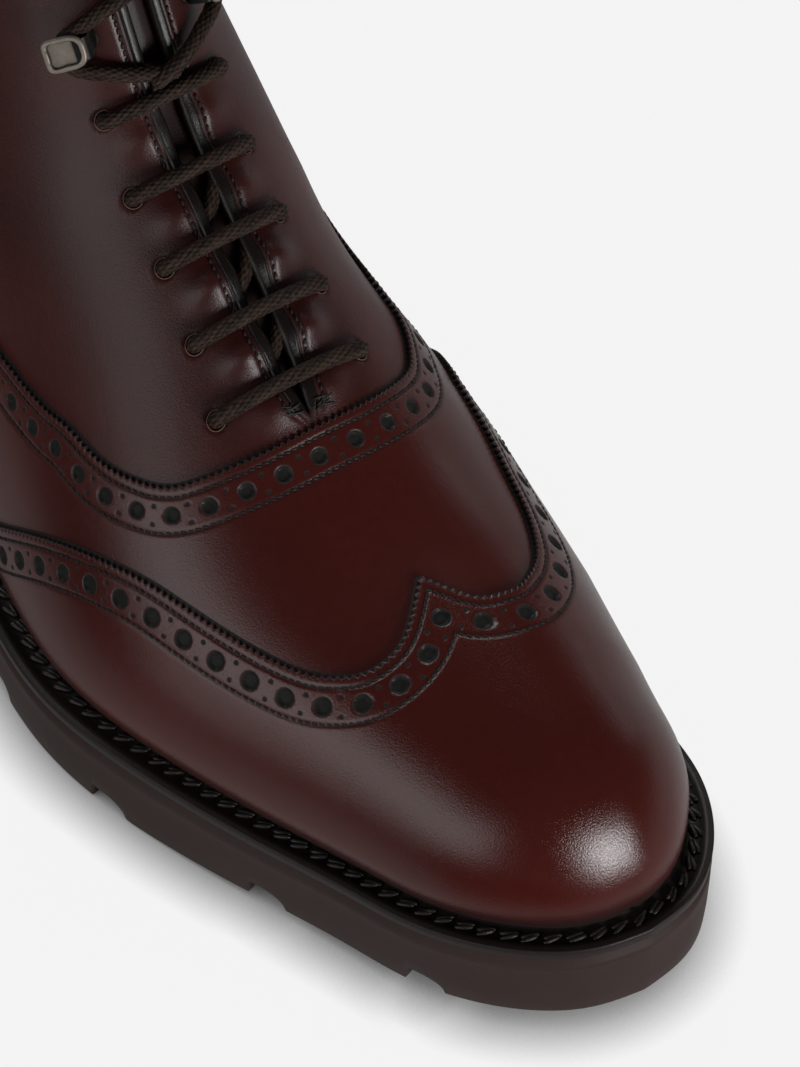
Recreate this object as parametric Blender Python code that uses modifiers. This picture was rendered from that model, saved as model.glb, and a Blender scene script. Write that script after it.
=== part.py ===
"""Brogue ankle boot for the right foot: a hollow laced upper on a welted rubber sole.

Shapes are worked in millimetres as (x, u, z): x to the big-toe side, u forward from the
back of the heel, z up from the floor.  The upper is a run of flat sections from the toe to
the collar.  A place on it is given by reach (how far along the sections, from the toe tip)
and turn (-1 at the outer foot of a section, 0 on the front ridge, +1 at the inner foot).
"""
import bpy
import bmesh
import numpy as np

NAME = "brogue_ankle_boot"
MM = 0.001
WELD_DISTANCE = 0.00001
SHARP_ANGLE = np.radians(35.0)

# Last, millimetres
LAST_LENGTH = 290.0
HEEL_ROUND = 36.0
HEEL_STEPS = np.array((9.0, 5.5, 3.0, 1.4, 0.5))
TOE_TURNS = (0, 16, 32, 48, 64, 78)
TOE = dict(depth=46.0, half_out=32.0, half_in=32.2, height=30.0, back=32.0, bulge=1.0,
           tip_x=8.0, swing=5.0, hip=1.5, arch=2.3, close=2.1)
FEATHER = dict(u=(-10, 40, 75, 120, 165, 200, 240, 270, 300),
               z=(36, 35.5, 33, 26, 19.5, 20, 21.5, 25, 28))
BACK = dict(z=(20, 36, 55, 75, 100, 125, 150, 185), u=(3, 0, -4, -3, 2, 4, 2, -1))

# Sections after the toe: foot on the feather line (u) or, from the ankle up, on the back seam (z);
# the ridge point; half widths out and in; hip swell; powers of the arch over the ridge
SECTIONS = (
    # name, foot, foot_x, ridge_u, ridge_z, ridge_x, half_out, half_in, hip, arch, close
    ("toes", 225, 2.5, 237.5, 62.5, 2.0, 40.3, 37.4, 1.5, 2.25, 2.1),
    ("ball", 194, -1.0, 213.5, 69.0, -1.0, 46.5, 45.0, 1.5, 2.2, 2.0),
    ("vamp", 165, -3.0, 188.0, 83.5, -1.2, 45.5, 45.0, 1.5, 2.25, 2.0),
    ("instep", 130, -2.8, 168.0, 99.0, -0.5, 39.5, 36.5, 1.5, 2.6, 2.0),
    ("waist", 90, -1.3, 148.3, 113.3, 0.0, 35.5, 34.5, 1.5, 3.2, 2.0),
    ("seat", 45, -0.2, 137.5, 128.4, 0.2, 33.8, 33.7, 1.0, 3.6, 2.0),
    ("heel", 0, 0.0, 129.5, 143.3, 0.2, 33.0, 33.0, 1.0, 3.8, 2.0),
    ("ankle", 70, 0.0, 126.5, 152.5, 0.1, 33.5, 33.0, 1.0, 3.6, 2.0),
    ("shaft", 110, 0.0, 125.3, 161.0, 0.0, 35.0, 34.5, 1.0, 3.2, 2.0),
    ("collar", 154, 0.0, 125.0, 169.0, 0.0, 36.5, 36.0, 1.0, 3.0, 2.0),
)
OPEN_SECTIONS = 7
FOOT_SHARE = 0.4
HIP_RISE = 0.3

# Rows of the upper's mesh: closer together at the toe, round the end of the throat and at the heel
TOE_ROWS = np.linspace(0, 56, 8)
VAMP_ROWS = np.linspace(65, 158, 10)
THROAT_ROWS = np.array((165, 167, 170, 176))
LEG_ROWS = np.linspace(186, 312, 11)
COLLAR_ROWS = 7
SIDE_COLUMNS = 11
COLUMN_CROWDING = 0.095
CUT_MARGIN = 0.04

# Leather layers: lift of each face from the last surface
GAP = 0.3
UPPER_LIFT = (-3.4, -1.2)
VAMP_LIFT = (-0.9, 0.0)
CAP_LIFT = (0.3, 1.2)
TONGUE_LIFT = (-6.2, -4.1)

# Throat slot: half the gap between the facings along the reach
SLOT = dict(reach=(165, 167, 170, 176, 190, 215, 400), half=(0, 1.0, 1.8, 2.4, 3.0, 3.3, 4.2))
TONGUE = dict(reach=(152, 175, 260, 406), half_turn=(0.14, 0.19, 0.21, 0.25))
TONGUE_ROWS = 20
TONGUE_COLUMNS = 11

# Upper edge of the vamp over the instep (reach at each turn) and along the sides (height at each u),
# and of the wing cap (reach at each turn, out and in)
VAMP_EDGE = dict(turn=(0, 0.09, 0.16, 0.23, 0.29, 0.33, 0.37, 0.41, 0.46, 1),
                 reach=(162.3, 162.5, 163.9, 166.3, 171, 178, 187, 202, 235, 420))
VAMP_SIDE = dict(u=(-10, 40, 80, 120, 150, 163, 200), z=(70.5, 69.5, 68.5, 67.2, 66.8, 67.7, 90))
WING_EDGE = dict(
    turn=(0, 0.05, 0.10, 0.16, 0.21, 0.25, 0.29, 0.33, 0.36, 0.39, 0.42, 0.45, 0.54, 0.69, 1),
    out=(112.5, 104.5, 98.5, 96, 97, 101, 110, 130.5, 144, 153.5, 160.5, 166.5, 180.5, 194.5, 212),
    inner=(112.5, 101, 98, 98, 100.5, 103.5, 108.5, 116, 124, 136, 149, 163, 180, 195, 212))

# Sole
WELT_WIDTH = dict(u=(-20, 40, 100, 160, 230, 300), out=(4.0, 4.0, 4.0, 4.6, 4.6, 4.6),
                  inner=(4.0, 4.0, 3.2, 3.6, 3.3, 4.4))
WELT_THICK = 2.7
OUTSOLE_INSET = 0.2
OUTSOLE_CHAMFER = 1.3
OUTSOLE_TAPER = 0.9
TREAD_BACK = 142.0
TREAD_FRONT = 205.0
TREAD_TIP = 295.0
TOE_SPRING = 7.4
SPRING_POWER = 1.2
WAIST_RUN = 74.0
HEEL_HEIGHT = 20.0
HEEL_BREAST = 70.0
HEEL_TAPER = 1.5
SIDE_POINTS = 46
FINE_POINTS = 200
HEEL_POINTS = 15
INSOLE_POINTS = 40
NOTCH_U = (162.5, 198.5, 235.0, 269.5)
NOTCH_LENGTH = 8.5
NOTCH_DEPTH = 3.4
NOTCH_INWARD = 13.0
NOTCH_OUTWARD = 4.0
NOTCH_PROFILE = dict(along=(-0.5, 0.5, 0.5, 0.12, -0.5), rise=(-2.0, -2.0, 0.35, 1.0, 1.0))
INSOLE_INSET = 5.2
INSOLE_THICK = 3.0

# Lace, eyelet rows and hooks
LACE_RADIUS = 1.65
LACE_OVER = 1.1
LACE_OVER_TURN = 0.09
LACE_BEVEL = 1
BAR_POINTS = 9
TOP_POINTS = 35
EYELETS = dict(reach=(176.7, 198.3, 222.3, 245.0, 273.0), turn=(0.168, 0.152, 0.146, 0.142, 0.138))
HOOK_REACH = (302.0, 340.0)
HOOK_TURN = 0.10
HOOK_STRAP = dict(across=(6.0, 0.5, 0.5, 4.5, 7.4, 8.6), rise=(0.45, 0.45, 5.2, 5.2, 5.2, 5.2),
                  half=(2.9, 2.9, 2.9, 3.5, 3.3, 2.0))
HOOK_THICK = 0.9
LACE_TOP = dict(
    reach=(283, 286, 288.5, 290.5, 295.5, 302, 308.5, 313, 316, 321, 326, 328.5, 333, 340, 345),
    turn=(0.03, -0.02, -0.065, -0.10, -0.135, -0.141, -0.135, -0.10, -0.06, 0.0, 0.06, 0.10, 0.135, 0.141,
          0.141),
    lift=(0.4, 0.6, 1.0, 1.6, 2.2, 2.3, 2.2, 1.6, 1.0, 0.9, 1.0, 1.6, 2.2, 2.3, 2.3))


def spline(knots, values, at):
    """Natural cubic curve through values at the knots, read at the places in at."""
    knots = np.asarray(knots, float)
    values = np.asarray(values, float)
    at = np.asarray(at, float)
    step = np.diff(knots)
    system = np.eye(len(knots))
    right = np.zeros(values.shape)
    for i in range(1, len(knots) - 1):
        system[i, i - 1:i + 2] = step[i - 1], 2 * (step[i - 1] + step[i]), step[i]
        right[i] = 6 * ((values[i + 1] - values[i]) / step[i] - (values[i] - values[i - 1]) / step[i - 1])
    bend = np.linalg.solve(system, right)
    k = np.clip(np.searchsorted(knots, at) - 1, 0, len(knots) - 2)
    a = (knots[k + 1] - at) / step[k]
    b = (at - knots[k]) / step[k]
    width = step[k]
    if values.ndim > 1:
        a, b, width = a[..., None], b[..., None], width[..., None]
    bow = (a**3 - a) * bend[k] + (b**3 - b) * bend[k + 1]
    return a * values[k] + b * values[k + 1] + bow * width**2 / 6


def feather_z(u):
    """Height of the line where the upper meets the welt."""
    return spline(FEATHER["u"], FEATHER["z"], u)


def back_u(z):
    """Back seam: how far forward the back of the boot is at each height."""
    return spline(BACK["z"], BACK["u"], z)


def section_table():
    """One row of section measures for each toe turn and each named section."""
    table = []
    for turn in np.radians(TOE_TURNS):
        s, c = np.sin(turn), np.cos(turn)
        foot_u = LAST_LENGTH - TOE["depth"] * (1 - c)
        ridge_u = LAST_LENGTH + TOE["bulge"] * s - TOE["back"] * (1 - c)
        ridge_z = feather_z(LAST_LENGTH) + TOE["height"] * s
        x = TOE["tip_x"] - TOE["swing"] * (1 - c)
        table.append((foot_u, feather_z(foot_u), x, ridge_u, ridge_z, x, TOE["half_out"] * s,
                      TOE["half_in"] * s, TOE["hip"] * s, TOE["arch"], TOE["close"]))
    for k, row in enumerate(SECTIONS):
        if k < OPEN_SECTIONS:
            foot = (row[1], feather_z(row[1]))
        else:
            foot = (back_u(row[1]), row[1])
        table.append(foot + row[2:])
    return np.array(table, float)


def section_knots(table):
    """Reach of each section: its ridge's travel and a share of its foot's travel."""
    ridge = np.hypot(np.diff(table[:, 3]), np.diff(table[:, 4]))
    foot = np.hypot(np.diff(table[:, 0]), np.diff(table[:, 1]))
    return np.concatenate([[0], np.cumsum(ridge + FOOT_SHARE * foot)])


TABLE = section_table()
KNOTS = section_knots(TABLE)
HEEL_REACH = KNOTS[len(TOE_TURNS) + OPEN_SECTIONS - 1]
COLLAR_REACH = KNOTS[-1]


def last(reach, turn):
    """Points of the last: up a section from its foot to the ridge, arched over and closed round the heel."""
    reach, turn = np.broadcast_arrays(np.asarray(reach, float), np.asarray(turn, float))
    row = np.moveaxis(spline(KNOTS, TABLE, reach), -1, 0)
    foot_u, foot_z, foot_x, ridge_u, ridge_z, ridge_x, half_out, half_in, hip, arch, close = row
    on_feather = reach < HEEL_REACH
    foot_z = np.where(on_feather, feather_z(foot_u), foot_z)
    foot_u = np.where(on_feather, foot_u, back_u(foot_z))
    q = np.cos(np.pi / 2 * turn) ** 2
    u = foot_u + q * (ridge_u - foot_u)
    z = foot_z + q * (ridge_z - foot_z)
    half = np.where(turn < 0, half_out, half_in) + hip * np.sin(np.pi / 2 * np.clip(q / HIP_RISE, 0, 1))
    half = np.maximum(half, 0) * np.maximum(1 - q**arch, 0) ** (1 / close)
    heel = np.clip((u - back_u(z)) / HEEL_ROUND, 0, 1)
    half = half * np.sqrt(1 - (1 - heel) ** 2)
    return np.stack([foot_x + q * (ridge_x - foot_x) + np.sign(turn) * half, u, z], -1)


def unit(vectors):
    """Vectors scaled to length one."""
    return vectors / np.maximum(np.linalg.norm(vectors, axis=-1, keepdims=True), 1e-12)


def frame_at(reach, turn):
    """Directions at a place on the last: across (rising turn), along (rising reach) and outward."""
    across = unit(last(reach, turn + 0.004) - last(reach, turn - 0.004))
    along = unit(last(reach + 0.5, turn) - last(reach - 0.5, turn))
    outward = unit(np.cross(along, across))
    outward = outward * np.sign(outward[..., 1:2] + outward[..., 2:3])
    return across, along, outward


def weld(points, faces):
    """Join points at one place; faces lose repeated corners and those left with two are dropped."""
    _, first, same = np.unique(np.round(points, 3), axis=0, return_index=True, return_inverse=True)
    joined = []
    for face in same.reshape(-1)[faces]:
        corners = [k for i, k in enumerate(face) if k != face[i - 1]]
        if len(corners) > 2:
            joined.append(corners)
    return points[first], joined, first


def grid_faces(rows, cols, start=0):
    """Triangles of a grid of points numbered row by row."""
    index = start + np.arange(rows * cols).reshape(rows, cols)
    low = np.stack([index[:-1, :-1], index[1:, :-1], index[1:, 1:]], -1).reshape(-1, 3)
    high = np.stack([index[:-1, :-1], index[1:, 1:], index[:-1, 1:]], -1).reshape(-1, 3)
    return np.concatenate([low, high])


def outward_normals(points, faces):
    """Area-weighted normals of a sheet whose rows rise in reach and columns in turn."""
    normal = np.zeros_like(points)
    for face in faces:
        corner = points[face]
        normal[face] += np.cross(corner[1] - corner[0], corner[2] - corner[0])
    return unit(normal)


def shell(sheet, lift):
    """Closed solid between two lifts of a sheet along its normals."""
    points, faces, normal = sheet
    count = len(points)
    both = np.concatenate([points + normal * lift[1], points + normal * lift[0]])
    solid = [list(f) for f in faces]
    solid += [[k + count for k in reversed(f)] for f in faces]
    used = {(face[i - 1], k) for face in faces for i, k in enumerate(face)}
    for a, b in sorted(used):
        if (b, a) not in used:
            solid.append([b, a, a + count, b + count])
    return both, solid


def sheet_of(grids):
    """Welded sheet over grids of reach and turn: points, faces, normals, and each point's place."""
    points = []
    faces = []
    places = []
    start = 0
    for reach, turn in grids:
        rows, cols = turn.shape
        points.append(last(reach, turn).reshape(-1, 3))
        places.append(np.stack([reach, turn], -1).reshape(-1, 2))
        faces.append(grid_faces(rows, cols, start))
        start += rows * cols
    points, faces, first = weld(np.concatenate(points), np.concatenate(faces))
    place = np.concatenate(places)[first]
    normal = outward_normals(points, faces)
    foot = (np.abs(place[:, 1]) > 0.9999) & (place[:, 0] <= HEEL_REACH)
    normal[foot, 2] = 0
    return points, faces, unit(normal), place


def cut_sheet(sheet, inside):
    """Part of a sheet where inside is above zero, cut straight across the faces it crosses."""
    points, faces, normal, _ = sheet
    points, normal = list(points), list(normal)
    crossing = {}
    kept = []
    for face in faces:
        corners = []
        for i, k in enumerate(face):
            j = face[i - 1]
            if (inside[j] > 0) != (inside[k] > 0):
                key = (min(j, k), max(j, k))
                if key not in crossing:
                    share = inside[key[0]] / (inside[key[0]] - inside[key[1]])
                    share = min(max(share, CUT_MARGIN), 1 - CUT_MARGIN)
                    crossing[key] = len(points)
                    points.append(points[key[0]] * (1 - share) + points[key[1]] * share)
                    normal.append(unit(normal[key[0]] * (1 - share) + normal[key[1]] * share))
                corners.append(crossing[key])
            if inside[k] > 0:
                corners.append(k)
        if len(corners) > 2:
            kept.append(corners)
    used = sorted({k for face in kept for k in face})
    number = {k: i for i, k in enumerate(used)}
    kept = [[number[k] for k in face] for face in kept]
    return np.array(points)[used], kept, np.array(normal)[used]


def slot_turn(reach):
    """Turn of a facing's edge: where the section is half a slot wide."""
    row = np.moveaxis(spline(KNOTS, TABLE, reach), -1, 0)
    half = np.interp(reach, SLOT["reach"], SLOT["half"])
    wide = (row[6] + row[7]) / 2 + row[8]
    q = np.maximum(1 - (half / np.maximum(wide, 1)) ** row[10], 0) ** (1 / row[9])
    return np.where(half > 0, 2 / np.pi * np.arccos(np.sqrt(np.clip(q, 0, 1))), 0)


def upper_sheet():
    """Outer and inner halves of the upper, from the foot of each section to the slot's edge."""
    reach = np.concatenate([TOE_ROWS, VAMP_ROWS, THROAT_ROWS, LEG_ROWS, HEEL_REACH - HEEL_STEPS,
                            np.linspace(HEEL_REACH, COLLAR_REACH, COLLAR_ROWS)])
    part = np.linspace(0, 1, SIDE_COLUMNS)
    part = part - COLUMN_CROWDING * np.sin(2 * np.pi * part)
    edge = slot_turn(reach)[:, None]
    turn = 1 - (1 - edge) * part[None, :]
    grid = np.broadcast_to(reach[:, None], turn.shape)
    return sheet_of(((grid, -turn), (grid, turn[:, ::-1])))


def upper_solid():
    """Hollow upper, open at the collar, throat and foot."""
    return shell(upper_sheet()[:3], UPPER_LIFT)


def vamp_solid():
    """Vamp and its sides back to the heel, cut from the upper's sheet along the vamp edge."""
    sheet = upper_sheet()
    reach, turn = sheet[3].T
    u, z = sheet[0][:, 1:].T
    over = np.interp(np.abs(turn), VAMP_EDGE["turn"], VAMP_EDGE["reach"]) - reach
    side = np.interp(u, VAMP_SIDE["u"], VAMP_SIDE["z"]) - z
    return shell(cut_sheet(sheet, np.minimum(over, side)), VAMP_LIFT)


def wing_solid():
    """Wing cap: over the toe to a peak on the ridge, with wings back to the welt."""
    sheet = upper_sheet()
    reach, turn = sheet[3].T
    edge = np.where(turn < 0, np.interp(-turn, WING_EDGE["turn"], WING_EDGE["out"]),
                    np.interp(turn, WING_EDGE["turn"], WING_EDGE["inner"]))
    return shell(cut_sheet(sheet, edge - reach), CAP_LIFT)


def tongue_solid():
    """Tongue under the facings, from inside the vamp to the collar."""
    reach = np.linspace(TONGUE["reach"][0], TONGUE["reach"][-1], TONGUE_ROWS)
    half = np.interp(reach, TONGUE["reach"], TONGUE["half_turn"])
    turn = half[:, None] * np.linspace(-1, 1, TONGUE_COLUMNS)[None, :]
    grid = np.broadcast_to(reach[:, None], turn.shape)
    return shell(sheet_of(((grid, turn),))[:3], TONGUE_LIFT)


def even(points, count):
    """A line of points spaced evenly along its length."""
    length = np.concatenate([[0], np.cumsum(np.linalg.norm(np.diff(points, axis=0), axis=1))])
    at = np.linspace(0, length[-1], count)
    return np.stack([np.interp(at, length, points[:, k]) for k in range(3)], -1)


def feather_side(turn, count):
    """Feather line of one side, from the toe tip to the back of the heel."""
    ahead = np.linspace(0, 1, 4 * FINE_POINTS)
    reach = HEEL_REACH * (1 - (1 - ahead) ** 3)
    return even(last(reach, turn), count)


def feather_loop(count):
    """Closed feather line: toe tip, outer side, heel back, inner side."""
    outer = feather_side(-1.0, count)
    inner = feather_side(1.0, count)
    return np.concatenate([outer, inner[-2:0:-1]])


def widen(loop, width):
    """Closed plan loop moved outward by a width at each point."""
    ahead = unit((np.roll(loop, -1, 0) - np.roll(loop, 1, 0))[:, :2])
    normal = np.stack([ahead[:, 1], -ahead[:, 0]], -1)
    if np.sum(normal * (loop[:, :2] - loop[:, :2].mean(0))) < 0:
        normal = -normal
    moved = loop.copy()
    moved[:, :2] += normal * np.asarray(width)[:, None]
    return moved


def welt_loop(count, extra=0.0):
    """Outline of the welt, or of a piece wider than it by extra."""
    loop = feather_loop(count)
    outer = np.arange(len(loop)) < count
    width = np.where(outer, np.interp(loop[:, 1], WELT_WIDTH["u"], WELT_WIDTH["out"]),
                     np.interp(loop[:, 1], WELT_WIDTH["u"], WELT_WIDTH["inner"]))
    return widen(loop, width + extra)


def at_height(loop, z):
    """Copy of a loop at the given heights."""
    moved = loop.copy()
    moved[:, 2] = z
    return moved


def tread_z(u):
    """Underside of the outsole: flat under the ball, toe spring in front, arch behind."""
    arch = np.clip((TREAD_BACK - u) / WAIST_RUN, 0, 1)
    spring = np.clip((u - TREAD_FRONT) / (TREAD_TIP - TREAD_FRONT), 0, 2)
    return HEEL_HEIGHT * arch**2 * (3 - 2 * arch) + TOE_SPRING * spring**SPRING_POWER


def slab(rings, pointed):
    """Solid of stacked loops, bottom first; its faces are ladders between the two sides of the loop."""
    count = len(rings[0])
    faces = []
    for k in range(len(rings) - 1):
        low, high = k * count, (k + 1) * count
        for i in range(count):
            j = (i + 1) % count
            faces.append([low + i, low + j, high + j, high + i])
    last_ring = (len(rings) - 1) * count
    for start, flip in ((0, True), (last_ring, False)):
        for rung in ladder(count, pointed):
            face = [start + i for i in rung]
            faces.append(face[::-1] if flip else face)
    return np.concatenate(rings), faces


def ladder(count, pointed):
    """Rungs across a loop: from a point at its start, or from a straight edge between its ends."""
    rungs = []
    first = 1 if pointed else 0
    far = count - 1
    if pointed:
        rungs.append([0, 1, far])
    near = first
    while far - near > 2:
        rungs.append([near, near + 1, far - 1, far])
        near += 1
        far -= 1
    rungs.append([near, near + 1, far])
    return rungs


def welt_solid():
    """Welt plate between the upper and the outsole."""
    loop = welt_loop(SIDE_POINTS)
    top = feather_z(loop[:, 1]) - GAP
    return slab([at_height(loop, top - WELT_THICK), at_height(loop, top)], True)


def outsole_top(u):
    """Upper face of the outsole, a joint's gap under the welt."""
    return feather_z(u) - GAP - WELT_THICK - GAP


def outsole_solid():
    """Outsole: tapered side wall under a chamfered upper edge."""
    wall = welt_loop(SIDE_POINTS, -OUTSOLE_INSET)
    top = welt_loop(SIDE_POINTS, -OUTSOLE_INSET - OUTSOLE_CHAMFER)
    foot = welt_loop(SIDE_POINTS, -OUTSOLE_INSET - OUTSOLE_TAPER)
    return slab([at_height(foot, tread_z(foot[:, 1])),
                 at_height(wall, outsole_top(wall[:, 1]) - OUTSOLE_CHAMFER),
                 at_height(top, outsole_top(top[:, 1]))], True)


def notch_solids():
    """Cutters for the gaps between the side lugs: a square step behind and a slope in front."""
    points = []
    faces = []
    loop = welt_loop(FINE_POINTS)
    outer = np.arange(len(loop)) < FINE_POINTS
    profile = tuple(zip(NOTCH_PROFILE["along"], NOTCH_PROFILE["rise"]))
    for side in (outer, ~outer):
        edge = loop[side]
        for notch_u in NOTCH_U:
            k = int(np.argmin(np.abs(edge[:, 1] - notch_u)))
            ahead = unit(edge[k + 2, :2] - edge[k - 2, :2])
            ahead = ahead * np.sign(ahead[1])
            inward = np.array([-ahead[1], ahead[0]])
            inward = inward * -np.sign(edge[k, 0] * inward[0])
            start = len(points)
            for depth in (-NOTCH_OUTWARD, NOTCH_INWARD):
                for along, rise in profile:
                    plan = edge[k, :2] + ahead * along * NOTCH_LENGTH + inward * depth
                    points.append((plan[0], plan[1], tread_z(edge[k, 1]) + rise * NOTCH_DEPTH))
            size = len(profile)
            faces.append([start + i for i in range(size)])
            faces.append([start + size + i for i in reversed(range(size))])
            for i in range(size):
                j = (i + 1) % size
                faces.append([start + j, start + i, start + size + i, start + size + j])
    return np.array(points), faces


def heel_solid():
    """Heel block under the back of the outsole."""
    rings = []
    for taper in (HEEL_TAPER, 0.0):
        loop = welt_loop(FINE_POINTS, -OUTSOLE_INSET - OUTSOLE_TAPER - taper)
        behind = loop[:, 1] < HEEL_BREAST
        outer = loop[:FINE_POINTS][behind[:FINE_POINTS]]
        inner = np.concatenate([outer[-1:], loop[FINE_POINTS:][behind[FINE_POINTS:]]])
        rings.append(np.concatenate([even(outer, HEEL_POINTS), even(inner, HEEL_POINTS)[1:]]))
    low, high = rings
    return slab([at_height(low, 0.0), at_height(high, tread_z(high[:, 1]) - GAP)], False)


def insole_solid():
    """Insole inside the foot of the upper."""
    loop = feather_loop(INSOLE_POINTS)
    loop = widen(loop, np.full(len(loop), -INSOLE_INSET))
    low = feather_z(loop[:, 1])
    return slab([at_height(loop, low), at_height(loop, low + INSOLE_THICK)], True)


def over_upper(reach, turn, lift):
    """Points lifted off the last along its outward direction."""
    return last(reach, turn) + frame_at(reach, turn)[2] * lift[:, None]


def lace_bar(row):
    """Path of the straight bar of lace across the facings at one eyelet row."""
    turn = EYELETS["turn"][row] * np.linspace(-1, 1, BAR_POINTS)
    reach = np.full(BAR_POINTS, EYELETS["reach"][row])
    lift = np.full(BAR_POINTS, UPPER_LIFT[1] + GAP + LACE_RADIUS)
    return over_upper(reach, turn, lift)


def lace_top(mirror, over):
    """Path of one end of the lace: out of the throat, round a hook, over to the next, raised at the crossings."""
    at = np.linspace(0, 1, TOP_POINTS)
    knots = np.linspace(0, 1, len(LACE_TOP["reach"]))
    reach = spline(knots, LACE_TOP["reach"], at)
    turn = spline(knots, LACE_TOP["turn"], at) * mirror
    lift = spline(knots, LACE_TOP["lift"], at) + over * np.maximum(1 - (turn / LACE_OVER_TURN) ** 2, 0)
    return over_upper(reach, turn, lift)


def hook_strip(reach, side):
    """Middle surface of a lace hook: a strap from its base on the facing, up a stem and out into a cap."""
    across, along, outward = frame_at(np.array(reach), np.array(side * HOOK_TURN))
    base = last(reach, side * HOOK_TURN) + outward * (UPPER_LIFT[1] + GAP)
    middle = base + np.outer(HOOK_STRAP["across"], across * side) + np.outer(HOOK_STRAP["rise"], outward)
    wide = np.outer(HOOK_STRAP["half"], along)
    points = np.stack([middle - wide, middle + wide], 1).reshape(-1, 3)
    faces = [[2 * k, 2 * k + 1, 2 * k + 3, 2 * k + 2] for k in range(len(middle) - 1)]
    return points, faces


def new_collection(name):
    """Collection linked to the scene."""
    collection = bpy.data.collections.new(name)
    bpy.context.scene.collection.children.link(collection)
    return collection


def new_material(name, colour, roughness, metallic=0.0):
    """Principled material of one colour."""
    material = bpy.data.materials.new(name)
    material.use_nodes = True
    shader = material.node_tree.nodes["Principled BSDF"]
    shader.inputs["Base Color"].default_value = colour + (1.0,)
    shader.inputs["Roughness"].default_value = roughness
    shader.inputs["Metallic"].default_value = metallic
    return material


def to_boot(points):
    """Points in metres in the boot's own axes: toe towards -Y, big-toe side towards +X."""
    return np.stack([points[:, 0] - CENTRE[0], CENTRE[1] - points[:, 1], points[:, 2]], -1) * MM


def add_part(collection, name, solid, material):
    """Mesh object from a solid, with its faces outward and its round faces shaded smooth."""
    points, faces = solid
    mesh = bpy.data.meshes.new(name)
    mesh.from_pydata(to_boot(points).tolist(), [], [[int(k) for k in f] for f in faces])
    work = bmesh.new()
    work.from_mesh(mesh)
    bmesh.ops.recalc_face_normals(work, faces=work.faces[:])
    work.to_mesh(mesh)
    work.free()
    mesh.shade_smooth()
    mesh.set_sharp_from_angle(angle=SHARP_ANGLE)
    mesh.materials.append(material)
    part = bpy.data.objects.new(name, mesh)
    collection.objects.link(part)
    return part


def add_hook(collection, name, strip, material):
    """Lace hook: a bent strip given its thickness."""
    hook = add_part(collection, name, strip, material)
    thick = hook.modifiers.new("thickness", "SOLIDIFY")
    thick.thickness = HOOK_THICK * MM
    thick.offset = 0.0
    thick.use_even_offset = True


def add_lace(collection, name, path, material):
    """Round lace along a path: a curve with a bevel and filled ends."""
    curve = bpy.data.curves.new(name, "CURVE")
    curve.dimensions = "3D"
    curve.bevel_depth = LACE_RADIUS * MM
    curve.bevel_resolution = LACE_BEVEL
    curve.use_fill_caps = True
    curve.render_resolution_u = 0
    line = curve.splines.new("POLY")
    line.points.add(len(path) - 1)
    line.points.foreach_set("co", np.insert(to_boot(path), 3, 1.0, axis=1).ravel())
    curve.materials.append(material)
    lace = bpy.data.objects.new(name, curve)
    collection.objects.link(lace)
    return lace


def as_mesh(lace):
    """Mesh object in the place of a curve object, its end caps welded on."""
    bpy.context.view_layer.update()
    depsgraph = bpy.context.evaluated_depsgraph_get()
    mesh = bpy.data.meshes.new_from_object(lace.evaluated_get(depsgraph))
    work = bmesh.new()
    work.from_mesh(mesh)
    bmesh.ops.remove_doubles(work, verts=work.verts[:], dist=WELD_DISTANCE)
    work.to_mesh(mesh)
    work.free()
    name = lace.name
    collection = lace.users_collection[0]
    bpy.data.objects.remove(lace, do_unlink=True)
    part = bpy.data.objects.new(name, mesh)
    collection.objects.link(part)
    return part


def as_cutter(part):
    """Mark a part as a helper that is only used by another part's modifier."""
    part.hide_render = True
    part.display_type = "WIRE"
    return part


def join_with(part, other, operation):
    """Boolean modifier on a part."""
    modifier = part.modifiers.new(operation.lower(), "BOOLEAN")
    modifier.operation = operation
    modifier.solver = "EXACT"
    modifier.object = other


def plan_centre():
    """Middle of the welt's outline, the widest piece in plan."""
    loop = welt_loop(SIDE_POINTS)
    return (loop[:, :2].min(0) + loop[:, :2].max(0)) / 2


CENTRE = plan_centre()


def main():
    """Make every piece of the boot."""
    for item in list(bpy.data.objects):
        bpy.data.objects.remove(item, do_unlink=True)
    boot = new_collection(NAME)
    cutters = new_collection("cutters")
    leather = new_material("oxblood_leather", (0.045, 0.010, 0.008), 0.32)
    lining = new_material("insole_leather", (0.30, 0.18, 0.10), 0.7)
    rubber = new_material("sole_rubber", (0.040, 0.029, 0.026), 0.75)
    edge = new_material("welt_leather", (0.012, 0.008, 0.007), 0.5)
    braid = new_material("lace_cord", (0.035, 0.022, 0.014), 0.85)
    nickel = new_material("hook_metal", (0.42, 0.40, 0.36), 0.4, 1.0)

    add_part(boot, "heel", heel_solid(), rubber)
    outsole = add_part(boot, "outsole", outsole_solid(), rubber)
    gaps = as_cutter(add_part(cutters, "lug_gaps", notch_solids(), rubber))
    join_with(outsole, gaps, "DIFFERENCE")
    add_part(boot, "welt", welt_solid(), edge)
    add_part(boot, "insole", insole_solid(), lining)
    add_part(boot, "upper", upper_solid(), leather)
    add_part(boot, "vamp", vamp_solid(), leather)
    add_part(boot, "wing_cap", wing_solid(), leather)
    add_part(boot, "tongue", tongue_solid(), leather)
    for row in range(len(EYELETS["reach"])):
        add_lace(boot, f"lace_bar_{row + 1}", lace_bar(row), braid)
    ends = as_mesh(add_lace(boot, "lace_top", lace_top(1.0, 0.0), braid))
    other = as_mesh(add_lace(cutters, "lace_other_end", lace_top(-1.0, LACE_OVER), braid))
    join_with(ends, as_cutter(other), "UNION")
    for row, reach in enumerate(HOOK_REACH):
        add_hook(boot, f"hook_out_{row + 1}", hook_strip(reach, -1), nickel)
        add_hook(boot, f"hook_in_{row + 1}", hook_strip(reach, 1), nickel)


main()
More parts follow.
